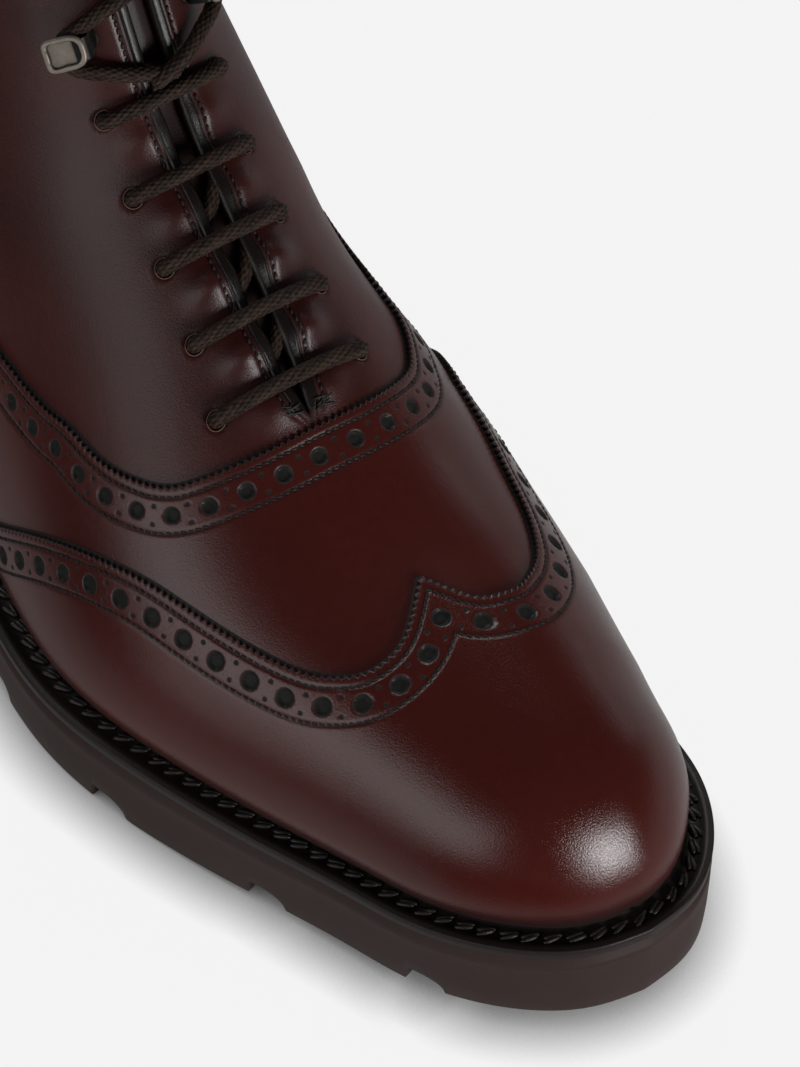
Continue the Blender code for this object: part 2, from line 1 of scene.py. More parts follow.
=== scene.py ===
"""Looks of the brogue ankle boot: leather panels, punching, stitches, braided lace, hooks, welt and sole.

Shapes are worked in millimetres as (x, u, z), as in the part's source: x to the big-toe side, u forward
from the back of the heel, z up.  A place on the last is given by reach (along the sections, from the
toe tip) and turn (-1 at the outer foot of a section, 0 on the ridge, +1 at the inner foot).
"""
import bpy
import bmesh
import numpy as np
from mathutils import Matrix


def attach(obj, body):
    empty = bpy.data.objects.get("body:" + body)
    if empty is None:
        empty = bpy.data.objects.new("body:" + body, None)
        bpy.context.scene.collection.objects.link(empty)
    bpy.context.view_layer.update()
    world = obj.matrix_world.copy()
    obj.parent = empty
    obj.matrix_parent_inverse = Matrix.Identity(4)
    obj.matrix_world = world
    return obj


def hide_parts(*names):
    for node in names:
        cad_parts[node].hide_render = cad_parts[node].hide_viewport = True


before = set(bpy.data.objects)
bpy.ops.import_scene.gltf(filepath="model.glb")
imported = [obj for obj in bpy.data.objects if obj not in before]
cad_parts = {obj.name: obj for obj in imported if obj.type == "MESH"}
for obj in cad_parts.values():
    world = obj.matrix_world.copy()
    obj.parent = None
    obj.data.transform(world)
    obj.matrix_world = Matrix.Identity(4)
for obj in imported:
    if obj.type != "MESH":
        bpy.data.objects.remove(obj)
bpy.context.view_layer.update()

MM = 0.001
BODY = "root"

# Last, millimetres, as in the part's source
LAST_LENGTH = 290.0
HEEL_ROUND = 36.0
TOE_TURNS = (0, 16, 32, 48, 64, 78)
TOE = dict(depth=46.0, half_out=32.0, half_in=32.2, height=30.0, back=32.0, bulge=1.0,
           tip_x=8.0, swing=5.0, hip=1.5, arch=2.3, close=2.1)
FEATHER = dict(u=(-10, 40, 75, 120, 165, 200, 240, 270, 300),
               z=(36, 35.5, 33, 26, 19.5, 20, 21.5, 25, 28))
BACK = dict(z=(20, 36, 55, 75, 100, 125, 150, 185), u=(3, 0, -4, -3, 2, 4, 2, -1))
SECTIONS = (
    # name, foot, foot_x, ridge_u, ridge_z, ridge_x, half_out, half_in, hip, arch, close
    ("toes", 225, 2.5, 237.5, 62.5, 2.0, 40.3, 37.4, 1.5, 2.25, 2.1),
    ("ball", 194, -1.0, 213.5, 69.0, -1.0, 46.5, 45.0, 1.5, 2.2, 2.0),
    ("vamp", 165, -3.0, 188.0, 83.5, -1.2, 45.5, 45.0, 1.5, 2.25, 2.0),
    ("instep", 130, -2.8, 168.0, 99.0, -0.5, 39.5, 36.5, 1.5, 2.6, 2.0),
    ("waist", 90, -1.3, 148.3, 113.3, 0.0, 35.5, 34.5, 1.5, 3.2, 2.0),
    ("seat", 45, -0.2, 137.5, 128.4, 0.2, 33.8, 33.7, 1.0, 3.6, 2.0),
    ("heel", 0, 0.0, 129.5, 143.3, 0.2, 33.0, 33.0, 1.0, 3.8, 2.0),
    ("ankle", 70, 0.0, 126.5, 152.5, 0.1, 33.5, 33.0, 1.0, 3.6, 2.0),
    ("shaft", 110, 0.0, 125.3, 161.0, 0.0, 35.0, 34.5, 1.0, 3.2, 2.0),
    ("collar", 154, 0.0, 125.0, 169.0, 0.0, 36.5, 36.0, 1.0, 3.0, 2.0),
)
OPEN_SECTIONS = 7
FOOT_SHARE = 0.4
HIP_RISE = 0.3

# Leather surface: a level tuck above the welt, and a trim of the inner side towards a spine line
TUCK = dict(depth=2.6, height=10.0, spine=(36.0, 248.0))
SLIM = dict(wide=22.0, u=(60, 120, 144, 164, 173, 184, 205, 226, 248, 270, 290),
            depth=(0, -1.0, -1.6, -0.2, 0.2, 1.4, 1.4, 0.7, 1.2, 2.9, 3.0))

# Leather layers: lift of each face from the last surface
GAP = 0.3
UPPER_LIFT = (-3.4, -1.2)
VAMP_LIFT = (-0.9, 0.0)
CAP_LIFT = (0.3, 1.2)
TONGUE_LIFT = (-6.2, -4.1)
SLOT = dict(reach=(165, 167, 170, 176, 190, 215, 400), half=(0, 1.0, 1.8, 2.4, 3.0, 3.3, 4.2))
TONGUE = dict(reach=(152, 175, 260, 406), half_turn=(0.14, 0.19, 0.21, 0.25))
VAMP_EDGE = dict(turn=(0, 0.09, 0.16, 0.23, 0.29, 0.33, 0.37, 0.41),
                 reach=(162.3, 162.5, 163.9, 166.3, 171, 178, 187, 202))
VAMP_SIDE = dict(u=(-10, 40, 80, 120, 150, 163, 175), z=(70.5, 69.5, 68.5, 67.2, 66.8, 67.7, 69.0))
WING_EDGE = dict(
    turn=(0, 0.05, 0.10, 0.16, 0.21, 0.25, 0.29, 0.33, 0.36, 0.39, 0.42, 0.45, 0.54, 0.69, 1),
    out=(112.5, 104.5, 98.5, 96, 97, 101, 110, 130.5, 144, 153.5, 160.5, 166.5, 180.5, 194.5, 212),
    inner=(112.5, 101, 98, 98, 100.5, 103.5, 108.5, 116, 124, 136, 149, 163, 180, 195, 212))

# Wing and vamp panels: where the wing's foot starts, and the vamp's spread along its edge
WING_FAN = 0.29
WING_FOOT = 188.0
VAMP_SPREAD = (0.0, 0.30, 0.70, 1.0)

# Sole
WELT_WIDTH = dict(u=(-20, 40, 100, 160, 230, 300), out=(4.0, 4.0, 4.0, 4.6, 4.6, 4.6),
                  inner=(4.0, 4.0, 3.2, 3.6, 3.3, 4.4))
WELT_THICK = 2.7
OUTSOLE_INSET = 0.2
OUTSOLE_CHAMFER = 1.3
OUTSOLE_TAPER = 0.9
TREAD_BACK = 142.0
TREAD_FRONT = 205.0
TREAD_TIP = 295.0
TOE_SPRING = 7.4
SPRING_POWER = 1.2
WAIST_RUN = 74.0
HEEL_HEIGHT = 20.0
HEEL_BREAST = 70.0
HEEL_TAPER = 1.5
NOTCH_U = (162.5, 198.5, 235.0, 269.5)
NOTCH_LENGTH = 8.5
NOTCH_DEPTH = 3.4
NOTCH_INWARD = 13.0
INSOLE_INSET = 5.2
INSOLE_THICK = 3.0

# Lace, eyelet rows and hooks
LACE_RADIUS = 1.65
LACE_OVER = 1.1
LACE_OVER_TURN = 0.09
EYELETS = dict(reach=(176.7, 198.3, 222.3, 245.0, 273.0), out=(-0.152, -0.138, -0.134, -0.131, -0.127),
               inner=(0.161, 0.147, 0.135, 0.128, 0.128))
HOOK_REACH = (302.0, 340.0)
HOOK_TURN = 0.10
DYED_COLUMNS = 8
FACING_STITCH = 2.2
SWELL = dict(reach=(171.0, 188.0, 211.0, 234.5, 260.5), high=(1.5, 2.3, 2.0, 1.4, 0.9),
             away=4.0, wide=4.6, long=5.6)
TACKS = ((169.0, -0.032), (167.6, 0.036))
EYELET = dict(radius=1.92, edge=0.12)
LACE_TOP = dict(
    reach=(279, 283, 287, 291.5, 297, 303, 308.5, 312, 315, 319, 325, 328.5, 333, 340, 345),
    turn=(0.03, -0.02, -0.065, -0.10, -0.135, -0.141, -0.135, -0.10, -0.06, 0.0, 0.06, 0.10, 0.135, 0.141,
          0.141),
    lift=(0.4, 0.6, 1.0, 1.6, 2.2, 2.3, 2.2, 1.6, 1.0, 0.9, 1.0, 1.6, 2.2, 2.3, 2.3))

# Punched and gimped edges: distances in from the cut edge
GIMP_PITCH = 1.5
GIMP_DEPTH = 0.4
COLUMNS_PER_TOOTH = 4
STRIP_WIDTH = 10.5
STRIP_ROWS = 40
FAR_ROWS = 34
FAR_SPREAD = 1.25
TOP_STITCH = 1.9
LOW_STITCH = 8.6
VAMP_PUNCH = dict(middle=5.2, radius=1.6, start=-2.35, pitch_out=7.6, pitch_in=8.2, pins=(3.6, 7.0))
WING_PUNCH = dict(middle=5.3, radius=1.8, start=-3.8, pitch_out=7.75, pitch_in=9.0, pins=(3.5, 7.1))
HOLE_DEPTH = 0.75
HOLE_WALL = 0.35
PIN_DEPTH = 0.2
PIN_RADIUS = 0.5
# Width of the near-black strip past the cut edge: painted shadow of the edge on the leather below
EDGE_SHADOW_WIDTH = 0.75
HOLE_SHARP = 75.0
STITCH = dict(pitch=1.5, length=1.3, wide=0.56, high=0.55, slant=13.0)
WELT_STITCH = dict(pitch=4.2, length=3.7, wide=1.15, high=1.1, slant=24.0,
                   inward=((215.0, 280.0), (4.5, 3.6)))
BRAID = dict(step=0.2, sides=48, strands=9, pitch=2.1, core=0.79, swell=0.17)
HOOK = dict(half_a=4.15, half_b=3.5, cap_at=4.9, rise=4.6, stem=2.2, ahead=2.0,
            cap_shade=(1, 1, 1, 0.6, 0.0, 0.0, 0.0, 0.5, 0.9, 0.25, 0.05))

# Camera: the view measured on the photograph
PHOTO_SIZE = (800, 1067)
CAMERA = dict(azimuth=-32.24, elevation=50.08, roll=0.4, distance=2500.0, px_per_mm=5.30,
              anchor=(0.0, 145.0, 60.0), anchor_px=(178.85, 312.31))

# Lights aim here; the card is a glowing strip seen only in reflections, painting the leather's reflections by distance
# from the sole
LIGHT_AIM = (0.0, -0.06, 0.06)
CARD = dict(height=1.0, far=1.3, dark=0.02, edge=0.14,
            out=(1.0, 30.0, 48.0, 56.0, 64.0, 72.0, 82.0, 93.0, 105.0, 120.0, 140.0, 165.0, 200.0, 260.0, 340.0,
                 440.0, 560.0, 680.0, 820.0, 980.0, 1500.0),
            near=((190, 230, 272, 290), (0.24, 0.33, 0.33, 0.2)),
            near_end=((200, 225, 250, 272, 290), (66, 62, 68, 92, 54)),
            far_start=((110, 165, 228, 250, 264), (1800, 160, 118, 280, 1800)), far_end=900.0,
            inner=((1, 80, 120, 200, 440, 560, 680), (0.40, 0.40, 0.20, 0.44, 0.56, 0.2, 0.05)),
            inner_back=((40, 160), (0.78, 1.0)))


def spline(knots, values, at):
    """Natural cubic curve through values at the knots, read at the places in at."""
    knots = np.asarray(knots, float)
    values = np.asarray(values, float)
    at = np.asarray(at, float)
    step = np.diff(knots)
    system = np.eye(len(knots))
    right = np.zeros(values.shape)
    for i in range(1, len(knots) - 1):
        system[i, i - 1:i + 2] = step[i - 1], 2 * (step[i - 1] + step[i]), step[i]
        right[i] = 6 * ((values[i + 1] - values[i]) / step[i] - (values[i] - values[i - 1]) / step[i - 1])
    bend = np.linalg.solve(system, right)
    k = np.clip(np.searchsorted(knots, at) - 1, 0, len(knots) - 2)
    a = (knots[k + 1] - at) / step[k]
    b = (at - knots[k]) / step[k]
    width = step[k]
    if values.ndim > 1:
        a, b, width = a[..., None], b[..., None], width[..., None]
    bow = (a**3 - a) * bend[k] + (b**3 - b) * bend[k + 1]
    return a * values[k] + b * values[k + 1] + bow * width**2 / 6


def feather_z(u):
    """Height of the line where the upper meets the welt."""
    return spline(FEATHER["u"], FEATHER["z"], u)


def back_u(z):
    """Back seam: how far forward the back of the boot is at each height."""
    return spline(BACK["z"], BACK["u"], z)


def section_table():
    """One row of section measures for each toe turn and each named section."""
    table = []
    for turn in np.radians(TOE_TURNS):
        s, c = np.sin(turn), np.cos(turn)
        foot_u = LAST_LENGTH - TOE["depth"] * (1 - c)
        ridge_u = LAST_LENGTH + TOE["bulge"] * s - TOE["back"] * (1 - c)
        ridge_z = feather_z(LAST_LENGTH) + TOE["height"] * s
        x = TOE["tip_x"] - TOE["swing"] * (1 - c)
        table.append((foot_u, feather_z(foot_u), x, ridge_u, ridge_z, x, TOE["half_out"] * s,
                      TOE["half_in"] * s, TOE["hip"] * s, TOE["arch"], TOE["close"]))
    for k, row in enumerate(SECTIONS):
        if k < OPEN_SECTIONS:
            foot = (row[1], feather_z(row[1]))
        else:
            foot = (back_u(row[1]), row[1])
        table.append(foot + row[2:])
    return np.array(table, float)


def section_knots(table):
    """Reach of each section: its ridge's travel and a share of its foot's travel."""
    ridge = np.hypot(np.diff(table[:, 3]), np.diff(table[:, 4]))
    foot = np.hypot(np.diff(table[:, 0]), np.diff(table[:, 1]))
    return np.concatenate([[0], np.cumsum(ridge + FOOT_SHARE * foot)])


TABLE = section_table()
KNOTS = section_knots(TABLE)
HEEL_REACH = KNOTS[len(TOE_TURNS) + OPEN_SECTIONS - 1]
COLLAR_REACH = KNOTS[-1]


def plain_last(reach, turn):
    """Points of the last: up a section from its foot to the ridge, arched over and closed round the heel."""
    reach, turn = np.broadcast_arrays(np.asarray(reach, float), np.asarray(turn, float))
    row = np.moveaxis(spline(KNOTS, TABLE, reach), -1, 0)
    foot_u, foot_z, foot_x, ridge_u, ridge_z, ridge_x, half_out, half_in, hip, arch, close = row
    on_feather = reach < HEEL_REACH
    foot_z = np.where(on_feather, feather_z(foot_u), foot_z)
    foot_u = np.where(on_feather, foot_u, back_u(foot_z))
    q = np.cos(np.pi / 2 * turn) ** 2
    u = foot_u + q * (ridge_u - foot_u)
    z = foot_z + q * (ridge_z - foot_z)
    half = np.where(turn < 0, half_out, half_in) + hip * np.sin(np.pi / 2 * np.clip(q / HIP_RISE, 0, 1))
    half = np.maximum(half, 0) * np.maximum(1 - q**arch, 0) ** (1 / close)
    heel = np.clip((u - back_u(z)) / HEEL_ROUND, 0, 1)
    half = half * np.sqrt(1 - (1 - heel) ** 2)
    return np.stack([foot_x + q * (ridge_x - foot_x) + np.sign(turn) * half, u, z], -1)


def last(reach, turn):
    """Points of the leather's surface: the last, tucked in above the welt and trimmed on its inner side.

    Both moves are level, towards a spine along the middle.  The tuck fades with the square of the height.
    The trim grows from the ridge to the side: the instep gets a little fuller and the toe slimmer.
    """
    points = plain_last(reach, turn)
    low = np.clip(1 - (points[..., 2] - feather_z(points[..., 1])) / TUCK["height"], 0, 1) ** 2
    beside = np.clip((points[..., 0] - spine_x(points[..., 1])) / SLIM["wide"], 0, 1)
    slim = beside**2 * (3 - 2 * beside) * np.interp(points[..., 1], SLIM["u"], SLIM["depth"])
    spine_u = np.clip(points[..., 1], *TUCK["spine"])
    inward = np.stack([spine_x(spine_u) - points[..., 0], spine_u - points[..., 1], np.zeros_like(low)], -1)
    return points + unit(inward) * (TUCK["depth"] * low + slim)[..., None]


def spine_x(u):
    """Middle of the boot's plan: straight from the heel to the toe tip."""
    return np.interp(u, (0, LAST_LENGTH), (0, TOE["tip_x"]))


def unit(vectors):
    """Vectors scaled to length one."""
    return vectors / np.maximum(np.linalg.norm(vectors, axis=-1, keepdims=True), 1e-9)


def slopes(reach, turn):
    """Change of the last's point for one unit of reach and for one of turn."""
    reach = np.asarray(reach, float)
    turn = np.asarray(turn, float)
    low, high = np.maximum(reach - 0.4, 0), np.minimum(reach + 0.4, COLLAR_REACH + 8)
    left, right = np.maximum(turn - 0.002, -1), np.minimum(turn + 0.002, 1)
    along = (last(high, turn) - last(low, turn)) / (high - low)[..., None]
    across = (last(reach, right) - last(reach, left)) / (right - left)[..., None]
    return along, across


def outward_at(reach, turn):
    """Outward direction of the last: square to both of its slopes."""
    along, across = slopes(reach, turn)
    return unit(np.cross(unit(along), unit(across)))


def lifted(reach, turn, lift):
    """Points of the last moved outward by a lift."""
    return last(reach, turn) + outward_at(reach, turn) * np.asarray(lift)[..., None]


def to_boot(points):
    """Points in metres in the boot's own axes: toe towards -Y, big-toe side towards +X."""
    return np.stack([points[..., 0] - CENTRE[0], CENTRE[1] - points[..., 1], points[..., 2]], -1) * MM


def arc(points):
    """Length along a line of points, from its start."""
    return np.concatenate([[0], np.cumsum(np.linalg.norm(np.diff(points, axis=0), axis=-1))])


def even(line, count, points=None):
    """A line of places or points, read again at even steps of its length in space."""
    length = arc(line if points is None else points)
    at = np.linspace(0, length[-1], count)
    return np.stack([np.interp(at, length, line[:, k]) for k in range(line.shape[1])], -1)


# Building meshes


def link_mesh(name, mesh, material, node):
    """Object for a mesh: shaded smooth, riding on the boot, with its material, slot and replaced node."""
    mesh.shade_smooth()
    piece = bpy.data.objects.new(name, mesh)
    bpy.context.scene.collection.objects.link(piece)
    mesh.materials.append(material)
    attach(piece, BODY)
    if node:
        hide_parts(*node)
    return piece


def grid_quads(rows, cols, close_rows=False, close_cols=False):
    """Corner numbers of the quads of a grid, wrapped round where it is closed."""
    index = np.arange(rows * cols).reshape(rows, cols)
    if close_rows:
        index = np.concatenate([index, index[:1]], 0)
    if close_cols:
        index = np.concatenate([index, index[:, :1]], 1)
    return np.stack([index[:-1, :-1], index[1:, :-1], index[1:, 1:], index[:-1, 1:]], -1).reshape(-1, 4)


def raw_mesh(name, points, quads, marks=None):
    """Mesh of flat points and quads, with float marks for each point where given."""
    mesh = bpy.data.meshes.new(name)
    mesh.vertices.add(len(points))
    mesh.vertices.foreach_set("co", points.astype(np.float32).ravel())
    mesh.loops.add(quads.size)
    mesh.loops.foreach_set("vertex_index", quads.astype(np.int32).ravel())
    mesh.polygons.add(len(quads))
    mesh.polygons.foreach_set("loop_start", np.arange(0, quads.size, 4, dtype=np.int32))
    for mark, values in (marks or {}).items():
        layer = mesh.attributes.new(mark, "FLOAT", "POINT")
        layer.data.foreach_set("value", np.concatenate([np.ravel(v) for v in values]).astype(np.float32))
    mesh.update(calc_edges=True)
    return mesh


def weld(mesh, dissolve, closed):
    """Doubled points welded, with edges dissolved and faces turned out where asked."""
    work = bmesh.new()
    work.from_mesh(mesh)
    bmesh.ops.remove_doubles(work, verts=work.verts[:], dist=2e-6)
    if dissolve:
        bmesh.ops.dissolve_degenerate(work, edges=work.edges[:], dist=1e-7)
    if closed:
        bmesh.ops.recalc_face_normals(work, faces=work.faces[:])
    work.to_mesh(mesh)
    work.free()


def mesh_of(name, grids, marks=None, closed=True):
    """One mesh of several grids of points, given as (points, close_rows, close_cols); doubles are welded.

    marks gives values for each point by name.  A closed shape has its faces turned outward.
    """
    points = np.concatenate([to_boot(g[0]).reshape(-1, 3) for g in grids])
    quads = []
    start = 0
    for grid, close_rows, close_cols in grids:
        quads.append(grid_quads(grid.shape[0], grid.shape[1], close_rows, close_cols) + start)
        start += grid.shape[0] * grid.shape[1]
    mesh = raw_mesh(name, points, np.concatenate(quads), marks)
    weld(mesh, dissolve=True, closed=closed)
    return mesh


def capsules(centre, ahead, outward, length, wide, high, around=8, rings=6):
    """Small round-ended stitches: an ellipse at each ring along the stitch, smaller towards both ends."""
    side = unit(np.cross(ahead, outward))
    top = unit(np.cross(side, ahead))
    along = -np.cos(np.linspace(0, np.pi, rings))
    size = np.sqrt(np.maximum(1 - along**4, 0))
    angle = np.linspace(0, 2 * np.pi, around, endpoint=False)
    a = along[:, None] * length / 2 * np.ones(around)[None]
    b = size[:, None] * np.cos(angle)[None] * wide / 2
    c = size[:, None] * np.sin(angle)[None] * high / 2
    return (centre[:, None, None] + a[None, ..., None] * ahead[:, None, None]
            + b[None, ..., None] * side[:, None, None] + c[None, ..., None] * top[:, None, None])


def capsule_mesh(name, batches):
    """One mesh of all the stitches in the batches."""
    stitches = np.concatenate(batches)
    count, rings, around = stitches.shape[:3]
    grid = grid_quads(rings, around, close_cols=True)
    quads = (grid[None] + (np.arange(count) * rings * around)[:, None, None]).reshape(-1, 4)
    points = to_boot(stitches).reshape(-1, 3)
    mesh = raw_mesh(name, points, quads)
    weld(mesh, dissolve=False, closed=True)
    return mesh


# Lines on the last


def slot_turn(reach):
    """Turn of a facing's edge: where the section is half a slot wide."""
    row = np.moveaxis(spline(KNOTS, TABLE, reach), -1, 0)
    half = np.interp(reach, SLOT["reach"], SLOT["half"])
    wide = (row[6] + row[7]) / 2 + row[8]
    q = np.maximum(1 - (half / np.maximum(wide, 1)) ** row[10], 0) ** (1 / row[9])
    return np.where(half > 0, 2 / np.pi * np.arccos(np.sqrt(np.clip(q, 0, 1))), 0)


def wing_edge():
    """Edge of the wing cap from the outer welt over the peak to the inner welt, as places."""
    turn = np.linspace(0, 1, 600)
    out = np.stack([spline(WING_EDGE["turn"], WING_EDGE["out"], turn), -turn], -1)
    inner = np.stack([spline(WING_EDGE["turn"], WING_EDGE["inner"], turn), turn], -1)
    return np.concatenate([out[::-1], inner[1:]])


def vamp_half(side):
    """Edge of the vamp on one side, from the ridge to the back seam: over the instep, then at a height."""
    turn = np.linspace(0, VAMP_EDGE["turn"][-1], 160)
    front = np.stack([spline(VAMP_EDGE["turn"], VAMP_EDGE["reach"], turn), turn], -1)
    reach_end = VAMP_EDGE["reach"][-1] + 4
    reach = np.linspace(reach_end, 352, 300)
    steps = np.linspace(0.3, 1, 700)
    at = last(reach[:, None], side * steps[None, :])
    below = np.interp(at[..., 1], VAMP_SIDE["u"], VAMP_SIDE["z"]) > at[..., 2]
    first = np.argmax(below, axis=1)
    seen = below.any(axis=1)
    back = np.stack([reach[seen], steps[first[seen]]], -1)
    line = np.concatenate([front, back, [(back[-1, 0], 1.0)]])
    line[:, 1] *= side
    return line


def vamp_edge():
    """Edge of the vamp from the back seam along the outer side, over the instep, and back on the inner side."""
    line = np.concatenate([vamp_half(-1)[::-1], vamp_half(1)[1:]])
    line = even(line, 900, last(line[:, 0], line[:, 1]))
    kernel = np.hanning(23)
    kernel /= kernel.sum()
    padded = np.concatenate([np.repeat(line[:1], 11, 0), line, np.repeat(line[-1:], 11, 0)])
    smooth = np.stack([np.convolve(padded[:, k], kernel, "valid") for k in (0, 1)], -1)
    smooth[0], smooth[-1] = line[0], line[-1]
    return smooth


def walk(places, direction, distance, steps=8):
    """Places reached by walking a distance over the last, keeping a direction in space as level as it can be."""
    reach, turn = places[:, 0].copy(), places[:, 1].copy()
    for _ in range(steps):
        along, across = slopes(reach, turn)
        aa, ab, bb = (along * along).sum(-1), (along * across).sum(-1), (across * across).sum(-1)
        ad, bd = (along * direction).sum(-1), (across * direction).sum(-1)
        area = np.maximum(aa * bb - ab * ab, 1e-9)
        r, t = (bb * ad - ab * bd) / area, (aa * bd - ab * ad) / area
        size = np.linalg.norm(along * r[:, None] + across * t[:, None], axis=-1)
        scale = distance / steps / np.maximum(size, 1e-9)
        reach = np.clip(reach + r * scale, 0.5, COLLAR_REACH)
        turn = np.clip(turn + t * scale, -1, 1)
    return np.stack([reach, turn], -1)


def inset_line(edge, inward, distance):
    """Line at a distance inside an edge; places nearer to another stretch of the edge are left out."""
    moved = walk(edge, inward, distance)
    line = last(moved[:, 0], moved[:, 1])
    rim = last(edge[:, 0], edge[:, 1])
    near = np.sqrt(((line[:, None] - rim[None]) ** 2).sum(-1)).min(1)
    return moved[near > 0.97 * distance]


def along_line(line, pitch, phase=0.5):
    """Places at an even pitch along a line, and the direction of the line at each."""
    points = last(line[:, 0], line[:, 1])
    length = arc(points)
    at = np.arange(phase * pitch, length[-1], pitch)
    place = np.stack([np.interp(at, length, line[:, k]) for k in (0, 1)], -1)
    ahead = unit(np.stack([np.interp(at + 0.3, length, points[:, k])
                           - np.interp(at - 0.3, length, points[:, k]) for k in range(3)], -1))
    return place, ahead


def stitch_row(line, lift, sink=0.1, stitch=STITCH):
    """Stitches along a line on the last, sunk a little into the leather, each slanted a little.

    lift is a height over the last, or a function that gives it at each reach.
    """
    place, ahead = along_line(line, stitch["pitch"])
    outward = outward_at(place[:, 0], place[:, 1])
    chance = np.random.default_rng(len(place))
    slant = np.radians(chance.normal(stitch["slant"], 6, (len(place), 1)))
    lie = unit(ahead * np.cos(slant) + np.cross(outward, ahead) * np.sin(slant))
    height = (lift(place[:, 0]) if callable(lift) else lift) - sink + chance.normal(0, 0.04, len(place))
    centre = last(place[:, 0], place[:, 1]) + outward * height[:, None]
    size = stitch["length"], stitch["wide"], stitch["high"]
    return capsules(centre, lie, outward, *size)


# Punched panels


def strip_foot(edge, inward, distance):
    """End of the edge strip: each edge place walked inward; where rays would cross, they meet at one place."""
    moved = walk(edge, inward, distance)
    line = last(moved[:, 0], moved[:, 1])
    near = edge_distance(line, last(edge[:, 0], edge[:, 1]))
    clear = np.flatnonzero(near > 0.96 * distance)
    return np.stack([np.interp(np.arange(len(edge)), clear, moved[clear, k]) for k in (0, 1)], -1)


def rays(edge, inward, foot):
    """Grid of places: close rows square in from the edge over the strip, then wider ones on to the foot line."""
    strip = strip_foot(edge, inward, STRIP_WIDTH)
    near = np.linspace(0, 1, STRIP_ROWS)[:, None, None]
    far = (np.linspace(0, 1, FAR_ROWS + 1)[1:] ** FAR_SPREAD)[:, None, None]
    return np.concatenate([edge + near * (strip - edge), strip + far * (foot - strip)])


def edge_distance(points, rim):
    """Distance from each point to the nearest point of a rim line, worked out a block of rows at a time."""
    flat = points.reshape(-1, 3)
    blocks = [np.sqrt(((b[:, None] - rim[None]) ** 2).sum(-1)).min(1) for b in np.array_split(flat, 40)]
    return np.concatenate(blocks).reshape(points.shape[:-1])


def groove(distance, at, wide):
    """Soft trough across a distance: one at its middle, none past its width."""
    return np.exp(-((distance - at) / wide) ** 2)


def punch_marks(edge, inward, punch):
    """Centres and radii of the holes along a strip, and of two pinholes between each pair of holes.

    Holes start near the ridge and go out on both sides at a pitch of their own.
    """
    line = inset_line(edge, inward, punch["middle"])
    points = last(line[:, 0], line[:, 1])
    length = arc(points)
    first = np.interp(0, line[:, 1], length) + punch["start"]
    at = np.concatenate([np.arange(first, 0, -punch["pitch_out"])[::-1],
                         np.arange(first, length[-1], punch["pitch_in"])[1:]])
    at = at[np.abs(at - length[-1] / 2) < length[-1] / 2 - punch["radius"]]
    holes = np.stack([np.interp(at, length, points[:, k]) for k in range(3)], -1)
    between = (holes[1:] + holes[:-1]) / 2
    pins = []
    for offset in punch["pins"]:
        row = inset_line(edge, inward, offset)
        row = last(row[:, 0], row[:, 1])
        pins.append(row[((between[:, None] - row[None]) ** 2).sum(-1).argmin(1)])
    spots = np.concatenate([holes] + pins)
    return spots, np.where(np.arange(len(spots)) < len(holes), punch["radius"], PIN_RADIUS)


